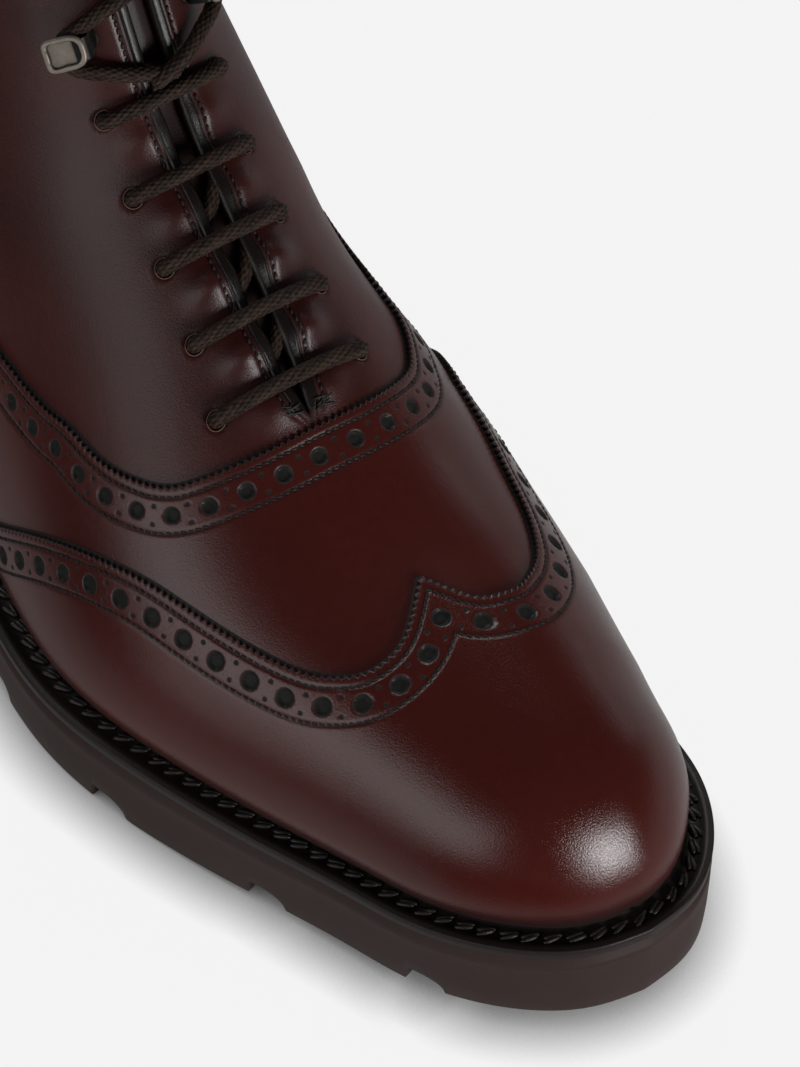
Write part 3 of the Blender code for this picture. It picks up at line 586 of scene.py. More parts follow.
def punched_panel(edge, foot, inward, lift, low, punch):
    """Leather panel with a gimped edge, punched holes, pinholes and sunk stitch rows.

    Rays run from the edge to the foot line; the first rows lie close together.  Points inside a hole or a
    pinhole sink by its depth, down a steep wall.  The edge is pushed in and out by the gimping and turned
    down to the leather below, where a narrow near-black strip runs on past it: painted shadow of the edge
    on the leather below.  The turned-down edge is near black as well.
    """
    place = rays(edge, inward, foot)
    reach, turn = place[..., 0], place[..., 1]
    outward = outward_at(reach, turn)
    base = last(reach, turn)
    rim = base[0]
    teeth_shape = reach.shape
    depth = np.zeros(reach.shape)
    hole = np.zeros(reach.shape)
    strip = slice(0, STRIP_ROWS + 1)
    distance = np.full(reach.shape, 99.0)
    distance[strip] = edge_distance(base[strip], rim[::2])
    spot, radius = punch_marks(edge, inward, punch)
    flat = base[strip].reshape(-1, 3)
    gap = np.sqrt(np.maximum((flat**2).sum(1)[:, None] + (spot**2).sum(1)[None] - 2 * flat @ spot.T, 0)) - radius
    nearest = gap.argmin(1)
    gap = gap.min(1)
    large = radius[nearest] > PIN_RADIUS
    sunk = np.where(large, HOLE_DEPTH, PIN_DEPTH) * np.clip(-gap / HOLE_WALL, 0, 1)
    # Hole mark for the holes, pinholes and their walls: the leather material paints them near black, painted shade
    # deepening the layer beneath
    dark = np.clip(0.5 - gap, 0, 1)
    depth[strip] = sunk.reshape(depth[strip].shape)
    hole[strip] = dark.reshape(hole[strip].shape)
    # Painted shade round the rims of the large holes, fading over about a fifth of a millimetre
    rim_shade = np.zeros(reach.shape)
    rim_shade[strip] = (0.75 * large * np.exp(-np.maximum(gap, 0) / 0.22)).reshape(rim_shade[strip].shape)
    depth += 0.22 * groove(distance, TOP_STITCH, 0.42) + 0.2 * groove(distance, LOW_STITCH, 0.45)
    depth += 0.18 * np.clip(1 - distance / 0.8, 0, 1) ** 2
    tooth = np.array((1.0, 0.0, -1.0, 0.0))[np.arange(teeth_shape[1]) % COLUMNS_PER_TOOTH]
    # Near-black strip past the cut edge, on the leather below: painted shadow of the edge
    dark_edge = base[:1] - inward[None] * EDGE_SHADOW_WIDTH + outward[:1] * low
    base += inward[None] * (-GIMP_DEPTH * tooth[None] * np.clip(1 - distance / 1.3, 0, 1))[..., None]
    top = base + outward * (lift - depth)[..., None]
    skirt = base[:1] + outward[:1] * np.array((low + 0.06, low + 0.5 * (lift - low)))[:, None, None]
    height = base[..., 2] - feather_z(base[..., 1])
    # Painted shade: dark at the cut edge, along both stitch troughs, and towards the welt, fading out about 8.5 mm
    # above the feather line
    near_shade = 0.6 * np.exp(-distance / 0.5) + 0.35 * groove(distance, TOP_STITCH, 0.4)
    far_shade = 0.35 * groove(distance, LOW_STITCH, 0.42) + 0.95 * np.clip(1.3 - height / 6.5, 0, 1)
    shade = np.clip(near_shade + rim_shade + far_shade, 0, 1)
    points = np.concatenate([dark_edge, skirt, top])
    # The strip and the turned-down edge take the full shade mark, so they are painted near black
    marks = {"hole": [np.concatenate([np.zeros((3, reach.shape[1])), hole])],
             "shade": [np.concatenate([np.ones((3, reach.shape[1])), shade])]}
    return points, marks


def edge_columns(line):
    """An edge read again so that each gimp tooth has its own even columns."""
    points = last(line[:, 0], line[:, 1])
    teeth = int(round(arc(points)[-1] / GIMP_PITCH))
    return even(line, teeth * COLUMNS_PER_TOOTH + 1, points)


def inward_of(edge, towards):
    """Direction in the surface, square to an edge, on the side of a foot line."""
    points = last(edge[:, 0], edge[:, 1])
    ahead = unit(np.gradient(points, axis=0))
    inward = unit(np.cross(outward_at(edge[:, 0], edge[:, 1]), ahead))
    aim = last(edge[:, 0] + 0.1 * (towards - edge)[:, 0], edge[:, 1] + 0.1 * (towards - edge)[:, 1]) - points
    return inward * np.sign((inward * aim).sum(-1))[:, None]


def vamp_foot():
    """Foot line of the vamp: the feather line behind the wing, and under the wing's edge in front of it."""
    wing = wing_edge()
    under = np.stack([wing[:, 0] - 7.0, wing[:, 1]], -1)
    back = np.linspace(HEEL_REACH, under[0, 0], 200)[:-1]
    side_out = np.full(len(back), -1.0)
    outer = np.stack([back, side_out], -1)
    inner = outer[::-1] * (1, -1)
    return outer, under, inner


def match(edge, marks_edge, foot_parts):
    """Foot place for each column of an edge: each stretch of the edge spreads over one part of the foot."""
    share = np.linspace(0, 1, len(edge))
    out = np.zeros_like(edge)
    for (start, end), part in zip(zip(marks_edge[:-1], marks_edge[1:]), foot_parts):
        points = last(part[:, 0], part[:, 1])
        length = arc(points) / arc(points)[-1]
        here = (share >= start) & (share <= end)
        at = (share[here] - start) / (end - start)
        out[here] = np.stack([np.interp(at, length, part[:, k]) for k in (0, 1)], -1)
    return out


def wing_foot(edge):
    """Foot of each ray of the wing cap: along the feather line from the wings, and round the toe tip between."""
    length = arc(last(edge[:, 0], edge[:, 1]))
    k = np.flatnonzero(np.abs(edge[:, 1]) < WING_FAN)
    at = (0, length[k[0]], length[k[-1]], length[-1])
    reach = np.interp(length, at, (WING_FOOT, 0, 0, WING_FOOT))
    return np.stack([reach, np.interp(length, at, (-1, -1, 1, 1))], -1)


def make_wing(leather, thread):
    """Wing cap over the toe: rays from its edge to the feather line and the toe tip."""
    edge = edge_columns(wing_edge())
    foot = wing_foot(edge)
    inward = inward_of(edge, foot)
    points, marks = punched_panel(edge, foot, inward, CAP_LIFT[1], CAP_LIFT[0] - 0.2, WING_PUNCH)
    mesh = mesh_of("wing_cap_leather", [(points, False, False)], marks, closed=False)
    mesh.set_sharp_from_angle(angle=np.radians(HOLE_SHARP))
    link_mesh("wing_cap_leather", mesh, leather, ["wing_cap"])
    rows = [stitch_row(inset_line(edge, inward, d), CAP_LIFT[1], 0.16) for d in (TOP_STITCH, LOW_STITCH)]
    link_mesh("wing_stitches", capsule_mesh("wing_stitches", rows), thread, [])


def make_vamp(leather, thread):
    """Vamp: rays from its edge to the feather line at the sides and to under the wing in front."""
    edge = edge_columns(vamp_edge())
    outer, under, inner = vamp_foot()
    foot = match(edge, VAMP_SPREAD, (outer, under, inner))
    inward = inward_of(edge, foot)
    points, marks = punched_panel(edge, foot, inward, VAMP_LIFT[1], VAMP_LIFT[0] - 0.25, VAMP_PUNCH)
    mesh = mesh_of("vamp_leather", [(points, False, False)], marks, closed=False)
    mesh.set_sharp_from_angle(angle=np.radians(HOLE_SHARP))
    link_mesh("vamp_leather", mesh, leather, ["vamp"])
    rows = [stitch_row(inset_line(edge, inward, d), VAMP_LIFT[1], 0.16) for d in (TOP_STITCH, LOW_STITCH)]
    link_mesh("vamp_stitches", capsule_mesh("vamp_stitches", rows), thread, [])


# Quarters, tongue


def quarter_half(side):
    """One side of the upper as a closed wall: out over its face to the facing edge, round it and back inside.

    The face has a bead along the facing edge, a trough for its stitches and a soft dip at each eyelet.
    """
    reach = np.concatenate([np.linspace(0, 150, 40), np.linspace(153, COLLAR_REACH, 210)])
    edge = slot_turn(reach)
    metric = np.linalg.norm(slopes(reach, side * np.maximum(edge, 0.02))[1], axis=-1)
    close = np.concatenate([np.arange(0, 1.6, 0.16), np.arange(1.6, 5, 0.3), np.linspace(5.4, 18, 15)])
    reach_in = edge[:, None] + close[None] / np.maximum(metric, 8)[:, None]
    near = np.minimum(reach_in, 0.7)
    fan = np.linspace(0, 1, 46)[1:] ** 1.0
    rest = near[:, -1:] + (1 - near[:, -1:]) * fan[None]
    turn = np.concatenate([near, rest], 1)[:, ::-1]
    grid = np.broadcast_to(reach[:, None], turn.shape)
    outward = outward_at(grid, side * turn)
    base = last(grid, side * turn)
    away = np.zeros(turn.shape)
    away[:, ::-1][:, :len(close)] = close[None]
    away[:, :len(rest[0])] = 99.0
    facing = np.clip((reach - 163) / 6, 0, 1)[:, None]
    lift = UPPER_LIFT[1] + facing * (0.12 * groove(away, 0.4, 0.4) - 0.3 * groove(away, 1.0, 0.2)
                                     - 0.3 * groove(away, FACING_STITCH, 0.5)) + swelling(grid, away)
    for at, across in zip(EYELETS["reach"], EYELETS["out" if side < 0 else "inner"]):
        spot = last(at, across)
        gap = np.linalg.norm(base - spot, axis=-1)
        lift = lift - 1.3 * np.exp(-(gap / 1.75) ** 6) + 0.1 * np.exp(-((gap - 2.3) / 0.5) ** 2)
    outer = base + outward * lift[..., None]
    inner = base + outward * UPPER_LIFT[0]
    middle = (outer[:, -1] + inner[:, -1]) / 2
    arm = (outer[:, -1] - inner[:, -1]) / 2
    arm_size = np.linalg.norm(arm, axis=-1, keepdims=True)
    towards = unit(base[:, -1] - base[:, -2]) * arm_size * np.minimum(facing, 1)
    angle = np.linspace(0, np.pi, 9)[1:-1]
    rim = (middle[:, None] + arm[:, None] * np.cos(angle)[None, :, None]
           + towards[:, None] * np.sin(angle)[None, :, None])
    wall = np.concatenate([outer, rim, inner[:, ::-1]], 1)
    rise = unit(base[-1] - base[-2])
    arm = (outer[-1] - inner[-1]) / 2
    size = np.linalg.norm(arm, axis=-1, keepdims=True)
    middle_cap = (outer[-1] + inner[-1])[None] / 2
    cap = (middle_cap + arm[None] * np.cos(angle)[:, None, None]
           + rise[None] * size[None] * np.sin(angle)[:, None, None])
    cap = np.concatenate([outer[None, -1], cap, inner[None, -1]])
    dark = facing * np.clip(1.1 - away / 1.6, 0, 1)
    edge_dark = np.broadcast_to(facing, (len(reach), rim.shape[1]))
    marks = {"shade": [np.concatenate([dark, edge_dark, np.zeros(turn.shape)], 1), np.zeros(cap.shape[:2])]}
    past_toe = reach > 166
    dyed = np.concatenate([outer[:, -DYED_COLUMNS:], rim, inner[:, :-4:-1]], 1)[past_toe]
    dyed = dyed + unit(dyed - middle[past_toe][:, None]) * 0.05
    return [(wall, False, True), (cap, False, False)], marks, dyed


def swelling(reach, away):
    """Lift of a facing near its edge, where the leather swells up between one lace and the next."""
    across = groove(away, SWELL["away"], SWELL["wide"])
    return across * sum(high * groove(reach, at, SWELL["long"]) for at, high in zip(SWELL["reach"], SWELL["high"]))


def facing_line(side, distance):
    """Line on the facing at a distance from its edge, from the bottom of the throat to the collar."""
    reach = np.linspace(168, COLLAR_REACH - 1, 300)
    edge = slot_turn(reach)
    metric = np.linalg.norm(slopes(reach, side * np.maximum(edge, 0.02))[1], axis=-1)
    return np.stack([reach, side * (edge + distance / metric)], -1)


def make_quarters(leather, dark_edge, thread):
    """Both sides of the upper, with dyed facing edges, facing stitches and bar tacks at the foot of the throat."""
    rows = []
    for name, side in (("quarter_outer", -1), ("quarter_inner", 1)):
        grids, marks, dyed = quarter_half(side)
        mesh = mesh_of(name, grids, marks)
        mesh.set_sharp_from_angle(angle=np.radians(70))
        link_mesh(name, mesh, leather, ["upper"])
        edge = "facing_edge" + name[7:]
        link_mesh(edge, mesh_of(edge, [(dyed, False, False)], closed=False), dark_edge, [])
        facing_lift = lambda reach: UPPER_LIFT[1] + swelling(reach, FACING_STITCH)
        rows.append(stitch_row(facing_line(side, FACING_STITCH), facing_lift, 0.2))
        collar = np.stack([np.full(300, COLLAR_REACH - 3.2), side * np.linspace(0.09, 0.999, 300)], -1)
        rows.append(stitch_row(collar, UPPER_LIFT[1], 0.1))
    chance = np.random.default_rng(5)
    for reach, turn in TACKS:
        reaches = reach + np.linspace(-1.3, 1.3, 9) + chance.normal(0, 0.25, 9)
        turns = turn + chance.normal(0, 0.006, 9)
        along, across = (unit(v) for v in slopes(reaches, turns))
        across = unit(across + along * chance.normal(0.1, 0.4, (9, 1)))
        outward = outward_at(reaches, turns)
        tack_lift = UPPER_LIFT[1] + 0.1 + swelling(reaches, 1.5) + chance.normal(0, 0.15, 9)
        centre = lifted(reaches, turns, tack_lift)
        rows.append(capsules(centre, across, outward, 3.2, 0.5, 0.5))
    link_mesh("facing_stitches", capsule_mesh("facing_stitches", rows), thread, [])


def make_eyelets(material):
    """Cut edges of the eyelets: a thin pale ring in the leather round each one."""
    angle = np.linspace(0, 2 * np.pi, 28, endpoint=False)
    round_it = np.linspace(0, 2 * np.pi, 6, endpoint=False)
    out, rise = EYELET["radius"] + EYELET["edge"] * np.cos(round_it), EYELET["edge"] * np.sin(round_it)
    rings = []
    for name in ("out", "inner"):
        for reach, turn in zip(EYELETS["reach"], EYELETS[name]):
            along, across = (unit(v) for v in slopes(np.array(reach), np.array(turn)))
            outward = outward_at(np.array(reach), np.array(turn))
            plan = np.cos(angle)[:, None, None] * along + np.sin(angle)[:, None, None] * across
            centre = last(reach, turn) + outward * (UPPER_LIFT[1] - 0.05)
            rings.append((centre + plan * out[None, :, None] + rise[None, :, None] * outward, True, True))
    link_mesh("eyelet_edges", mesh_of("eyelet_edges", rings), material, [])


def make_tongue(leather):
    """Tongue under the facings: a closed sheet with rounded edges."""
    reach = np.linspace(TONGUE["reach"][0], TONGUE["reach"][-1], 160)
    half = np.interp(reach, TONGUE["reach"], TONGUE["half_turn"])
    across = np.linspace(-1, 1, 61)
    turn = half[:, None] * across[None]
    grid = np.broadcast_to(reach[:, None], turn.shape)
    base = last(grid, turn)
    outward = outward_at(grid, turn)
    middle = sum(TONGUE_LIFT) / 2
    thick = (TONGUE_LIFT[1] - TONGUE_LIFT[0]) / 2
    side_ends = np.sqrt(np.clip(1 - across[None] ** 16, 0, 1))
    length_ends = np.sqrt(np.clip(1 - np.linspace(-1, 1, 160)[:, None] ** 40, 0, 1))
    ends = side_ends * length_ends
    top = base + outward * (middle + thick * ends)[..., None]
    under = base + outward * (middle - thick * ends)[..., None]
    mesh = mesh_of("tongue_leather", [(top, False, False), (under[:, ::-1], False, False)])
    link_mesh("tongue_leather", mesh, leather, ["tongue"])


# Sole


def feather_loop(count):
    """Closed feather line: toe tip, outer side, heel back, inner side."""
    ahead = np.linspace(0, 1, 800)
    reach = HEEL_REACH * (1 - (1 - ahead) ** 3)
    outer = even(plain_last(reach, -1.0), count)
    inner = even(plain_last(reach, 1.0), count)
    return np.concatenate([outer, inner[-2:0:-1]])


def plan_normal(loop):
    """Outward plan direction of a closed loop."""
    ahead = unit((np.roll(loop, -1, 0) - np.roll(loop, 1, 0))[:, :2])
    normal = np.stack([ahead[:, 1], -ahead[:, 0], np.zeros(len(loop))], -1)
    flip = np.sign(np.sum(normal * (loop - loop.mean(0))))
    return normal * flip


def welt_loop(count):
    """Outline of the welt: the feather line moved out by its width."""
    loop = feather_loop(count)
    inner_side = np.clip(0.5 + (loop[:, 0] - spine_x(loop[:, 1])) / 40, 0, 1)
    width = ((1 - inner_side) * np.interp(loop[:, 1], WELT_WIDTH["u"], WELT_WIDTH["out"])
             + inner_side * np.interp(loop[:, 1], WELT_WIDTH["u"], WELT_WIDTH["inner"]))
    return loop + plan_normal(loop) * width[:, None]


def tread_z(u):
    """Underside of the outsole: flat under the ball, toe spring in front, arch behind."""
    arch = np.clip((TREAD_BACK - u) / WAIST_RUN, 0, 1)
    spring = np.clip((u - TREAD_FRONT) / (TREAD_TIP - TREAD_FRONT), 0, 2)
    return HEEL_HEIGHT * arch**2 * (3 - 2 * arch) + TOE_SPRING * spring**SPRING_POWER


def plan_centre():
    """Middle of the welt's outline as the part's source has it."""
    loop = welt_loop(46)
    return (loop[:, :2].min(0) + loop[:, :2].max(0)) / 2


CENTRE = plan_centre()


def ringed(loop, rows, spine_ends):
    """Closed solid of rings round a loop: each row has an offset inward and heights; both ends close on a spine.

    A ring point is the loop's point moved in by the offset, at its height.  The spine runs up the middle.
    """
    normal = plan_normal(loop)
    spine_u = np.clip(loop[:, 1], *spine_ends)
    outer = loop[loop[:, 0] < spine_x(loop[:, 1])]
    inner = loop[loop[:, 0] >= spine_x(loop[:, 1])]
    outer, inner = outer[np.argsort(outer[:, 1])], inner[np.argsort(inner[:, 1])]
    middle = (np.interp(spine_u, outer[:, 1], outer[:, 0]) + np.interp(spine_u, inner[:, 1], inner[:, 0])) / 2
    rings = []
    for offset, height in rows:
        ring = loop - normal * offset
        ring[:, 2] = height(ring[:, 1])
        rings.append(ring)
    for end, height in ((0, rows[0][1]), (len(rings), rows[-1][1])):
        ring = np.stack([middle, spine_u, height(spine_u)], -1)
        rings.insert(0 if end == 0 else len(rings), ring)
    return np.array(rings)


def make_welt(material, thread):
    """Welt: a flat strip with a rounded edge and a groove for its stitches, and the rope of slanted stitches."""
    loop = welt_loop(420)
    top = lambda u: feather_z(u) - GAP
    rows = [(11.0, lambda u: top(u) - WELT_THICK), (0.6, lambda u: top(u) - WELT_THICK),
            (0.12, lambda u: top(u) - WELT_THICK + 0.35), (0.0, lambda u: top(u) - 0.7),
            (0.08, lambda u: top(u) - 0.3), (0.35, lambda u: top(u) - 0.1), (0.6, lambda u: top(u) - 0.14),
            (0.85, lambda u: top(u) - 0.02), (1.9, top), (2.4, lambda u: top(u) - 0.5),
            (5.4, lambda u: top(u) - 0.75), (5.9, lambda u: top(u) - 0.2), (11.0, top)]
    mesh = mesh_of("welt_strip", [(ringed(loop, rows, (20, 265)), False, True)])
    link_mesh("welt_strip", mesh, material, ["welt"])
    line = loop - plan_normal(loop) * np.interp(loop[:, 1], *WELT_STITCH["inward"])[:, None]
    line[:, 2] = feather_z(line[:, 1]) - GAP - 0.25
    line = np.concatenate([line, line[:1]])
    length = arc(line)
    count = int(length[-1] / WELT_STITCH["pitch"])
    at = np.linspace(0, length[-1], count, endpoint=False)
    centre = np.stack([np.interp(at, length, line[:, k]) for k in range(3)], -1)
    ahead = unit(np.stack([np.interp(at + 0.8, length, line[:, k]) - np.interp(at - 0.8, length, line[:, k])
                           for k in range(3)], -1))
    up = np.broadcast_to((0.0, 0.0, 1.0), ahead.shape)
    side = unit(np.cross(ahead, up))
    chance = np.random.default_rng(3)
    ropes = []
    for shift in (-0.4, 0.4):
        slant = np.radians(WELT_STITCH["slant"] + 14 * shift + chance.normal(0, 5, (count, 1)))
        lie = unit(ahead * np.cos(slant) + side * np.sin(slant) + up * chance.normal(0, 0.06, (count, 1)))
        middle = centre + side * shift + ahead * chance.normal(0, 0.18, (count, 1))
        ropes.append(capsules(middle, lie, up, WELT_STITCH["length"], WELT_STITCH["wide"], WELT_STITCH["high"], 8, 7))
    link_mesh("welt_stitches", capsule_mesh("welt_stitches", ropes), thread, [])


def notch_rise(loop):
    """Rise of the tread at each loop point: a square step at the back of each gap and a scoop in front."""
    rise = np.zeros(len(loop))
    outer = loop[:, 0] < spine_x(loop[:, 1])
    for side, places in ((outer, NOTCH_U), (~outer, NOTCH_U[:-1])):
        for notch_u in places:
            k = np.flatnonzero(side)[np.argmin(np.abs(loop[side, 1] - notch_u))]
            ahead = unit(loop[(k + 2) % len(loop), :2] - loop[k - 2, :2])
            ahead = ahead * np.sign(ahead[1])
            at = ((loop[:, :2] - loop[k, :2]) @ ahead) / NOTCH_LENGTH + 0.5
            near = side & (at >= 0) & (at <= 1)
            rise = np.where(near, np.sqrt(np.clip(1 - np.clip(at, 0, 1)**2.2, 0, 1)), rise)
    return rise * NOTCH_DEPTH


def make_outsole(rubber):
    """Outsole: side wall under a rounded upper edge, with a fine line, and gaps between the side lugs."""
    loop = welt_loop(900)
    rise = notch_rise(loop)
    top = lambda u: feather_z(u) - GAP - WELT_THICK - GAP
    low = lambda u: tread_z(u) + rise
    inset = OUTSOLE_INSET
    edge_line = [(inset + OUTSOLE_CHAMFER, top), (inset + OUTSOLE_CHAMFER - 0.1, lambda u: top(u) - 0.08),
                 (inset + 0.15, lambda u: top(u) - 1.9), (inset, lambda u: top(u) - 2.2),
                 (inset + 0.02, lambda u: top(u) - 2.5), (inset + 0.16, lambda u: top(u) - 2.7),
                 (inset + 0.06, lambda u: top(u) - 2.95), (inset + 0.08, lambda u: top(u) - 3.0)]
    rows = [(9.0, top)] + edge_line
    for share in (0.35, 0.7, 1.0):
        rows.append((inset + 0.6 * OUTSOLE_TAPER * share,
                     lambda u, s=share: (top(u) - 3.0) * (1 - s) + (tread_z(u) + NOTCH_DEPTH + 1.0) * s))
    rows += [(inset + OUTSOLE_TAPER, lambda u: low(u) + 0.7), (inset + OUTSOLE_TAPER + 0.25, lambda u: low(u) + 0.2),
             (inset + OUTSOLE_TAPER + 0.8, low), (NOTCH_INWARD, low), (NOTCH_INWARD + 0.2, tread_z)]
    mesh = mesh_of("outsole_rubber", [(ringed(loop, rows, (20, 265)), False, True)])
    link_mesh("outsole_rubber", mesh, rubber, ["outsole"])


def make_heel(rubber):
    """Heel block: the sole's outline behind the breast, tapered down, with rounded edges and lift lines."""
    loop = welt_loop(900)
    loop = loop[:, :] - plan_normal(loop) * (OUTSOLE_INSET + OUTSOLE_TAPER)
    behind = loop[loop[:, 1] < HEEL_BREAST]
    outline = np.concatenate([behind, np.linspace(behind[-1], behind[0], 40)[1:-1]])
    outline = even(np.concatenate([outline, outline[:1]]), 500)[:-1]
    top = lambda u: tread_z(u) - GAP
    level = lambda h: (lambda u: np.full(len(u), h))
    lift_line = [(0.1, lambda u: np.minimum(top(u) - 0.6, 13.3)), (0.45, level(13.0)), (0.45, level(12.7)),
                 (0.5, level(12.4)), (0.9, level(7.0)), (1.25, level(6.8)), (1.25, level(6.5)), (1.0, level(6.2))]
    rows = [(6.0, top), (0.0, top)] + lift_line
    rows += [(HEEL_TAPER, level(0.7)), (HEEL_TAPER + 0.3, level(0.2)),
             (HEEL_TAPER + 0.9, level(0.0)), (12.0, level(0.0))]
    mesh = mesh_of("heel_rubber", [(ringed(outline, rows, (25, 45)), False, True)])
    link_mesh("heel_rubber", mesh, rubber, ["heel"])


def make_insole(material):
    """Insole: a flat sheet inside the foot of the upper, with a rounded edge."""
    loop = feather_loop(300)
    thick_top = lambda u: feather_z(u) + INSOLE_THICK
    rows = [(INSOLE_INSET + 9, feather_z), (INSOLE_INSET, feather_z),
            (INSOLE_INSET, lambda u: feather_z(u) + INSOLE_THICK - 0.6),
            (INSOLE_INSET + 0.6, thick_top), (INSOLE_INSET + 9, thick_top)]
    mesh = mesh_of("insole_leather", [(ringed(loop, rows, (25, 255)), False, True)])
    link_mesh("insole_leather", mesh, material, ["insole"])


# Lace and hooks


def yarn(across, along, first):
    """Height of one set of yarns of a plain weave: rounded across each yarn, over and under along it."""
    row = np.round(across)
    return np.sqrt(np.clip(1 - 4 * (across - row) ** 2, 0, 1)) - 0.5 + 0.5 * first * np.cos(np.pi * (along + row))


def braid(path, hint):
    """Round braided lace along a path: a tube whose radius rises and falls as two sets of strands cross.

    The path is read again at even steps; hint is a direction square enough to it to hang the ring on.
    """
    length = arc(path)
    count = int(length[-1] / BRAID["step"])
    at = np.linspace(0, length[-1], count)
    line = np.stack([spline(length, path[:, k], at) for k in range(3)], -1)
    hint = np.stack([np.interp(at, length, hint[:, k]) for k in range(3)], -1)
    ahead = unit(np.gradient(line, axis=0))
    side = unit(hint - (hint * ahead).sum(-1, keepdims=True) * ahead)
    top = np.cross(ahead, side)
    angle = np.linspace(0, 2 * np.pi, BRAID["sides"], endpoint=False)
    round_it = BRAID["strands"] * angle[None] / (2 * np.pi)
    x, y = round_it + at[:, None] / BRAID["pitch"], round_it - at[:, None] / BRAID["pitch"]
    over = yarn(x, y, 1.0)
    under = yarn(y, x, -1.0)
    # weave is the height of the yarns; the lace material turns it into painted highlight on the crests and painted
    # shade between them
    weave = np.maximum(over, under)
    radius = LACE_RADIUS * (BRAID["core"] + BRAID["swell"] * weave)
    weave = weave + 0.2 * np.sin(12.9 * np.round(x) + 7.8 * np.round(y))
    taper = np.sqrt(np.clip(1 - np.linspace(-1, 1, count) ** 60, 0, 1))
    ring = np.cos(angle)[None, :, None] * side[:, None] + np.sin(angle)[None, :, None] * top[:, None]
    return line[:, None] + (radius * taper[:, None])[..., None] * ring, weave


def make_lace(material):
    """Lace: five straight bars through their eyelets, and two ends that cross and go round the hooks."""
    for row, (reach, out, inner) in enumerate(zip(EYELETS["reach"], EYELETS["out"], EYELETS["inner"])):
        across = np.concatenate([[-1.0, -1.0, -0.985], np.linspace(-0.9, 0.9, 13), [0.985, 1.0, 1.0]])
        lift = np.concatenate([[-6.0, -2.6, -0.2], np.full(13, UPPER_LIFT[1] + LACE_RADIUS), [-0.2, -2.6, -6.0]])
        turns = np.interp(across, (-1, 0, 1), (out, 0, inner))
        reaches = np.full(len(turns), reach)
        outward = outward_at(reaches, turns)
        path = last(reaches, turns) + outward * lift[:, None]
        along = unit(slopes(reaches, turns)[0])
        points, weave = braid(path, along)
        mesh = mesh_of(f"lace_{row + 1}", [(points, False, True)], {"weave": [weave]})
        link_mesh(f"lace_{row + 1}", mesh, material, [f"lace_bar_{row + 1}"])
    for row in range(len(EYELETS["reach"]) - 2):
        middle = (EYELETS["reach"][row] + EYELETS["reach"][row + 1]) / 2
        reaches = middle + np.array((-9.0, -5.0, 0.0, 5.0, 9.0))
        turns = np.array((-0.06, -0.028, 0.004, 0.034, 0.06))
        path = lifted(reaches, turns, np.array((-4.6, -3.0, -2.4, -3.0, -4.6)))
        points, weave = braid(path, outward_at(reaches, turns))
        mesh = mesh_of(f"lace_under_{row + 1}", [(points, False, True)], {"weave": [weave]})
        link_mesh(f"lace_under_{row + 1}", mesh, material, [])
    for name, mirror, over in (("lace_end_outer", 1.0, 0.0), ("lace_end_inner", -1.0, LACE_OVER)):
        at = np.linspace(0, 1, 70)
        knots = np.linspace(0, 1, len(LACE_TOP["reach"]))
        reach = spline(knots, LACE_TOP["reach"], at)
        turn = spline(knots, LACE_TOP["turn"], at) * mirror
        lift = spline(knots, LACE_TOP["lift"], at) + over * np.maximum(1 - (turn / LACE_OVER_TURN) ** 2, 0)
        path = lifted(reach, turn, lift)
        points, weave = braid(path, outward_at(reach, turn))
        mesh = mesh_of(name, [(points, False, True)], {"weave": [weave]})
        link_mesh(name, mesh, material, ["lace_top"])


def rounded_plate(half_a, half_b, rows, powers=(4.0, 4.0)):
    """Plate with a rounded square outline, squarer on its far side: rows of (inset, rise) turned round it."""
    angle = np.linspace(0, 2 * np.pi, 64, endpoint=False)
    c, s = np.cos(angle), np.sin(angle)
    power = np.interp(c, (-0.5, 0.5), powers)
    size = (np.abs(c) ** power + np.abs(s) ** power) ** (-1 / power)
    plan = np.stack([half_a * size * c, half_b * size * s], -1)
    rings = []
    for inset, rise in rows:
        shrink = np.maximum(1 - inset / np.linalg.norm(plan, axis=-1), 0)
        rings.append(np.concatenate([plan * shrink[:, None], np.full((64, 1), rise)], 1))
    return np.array(rings)


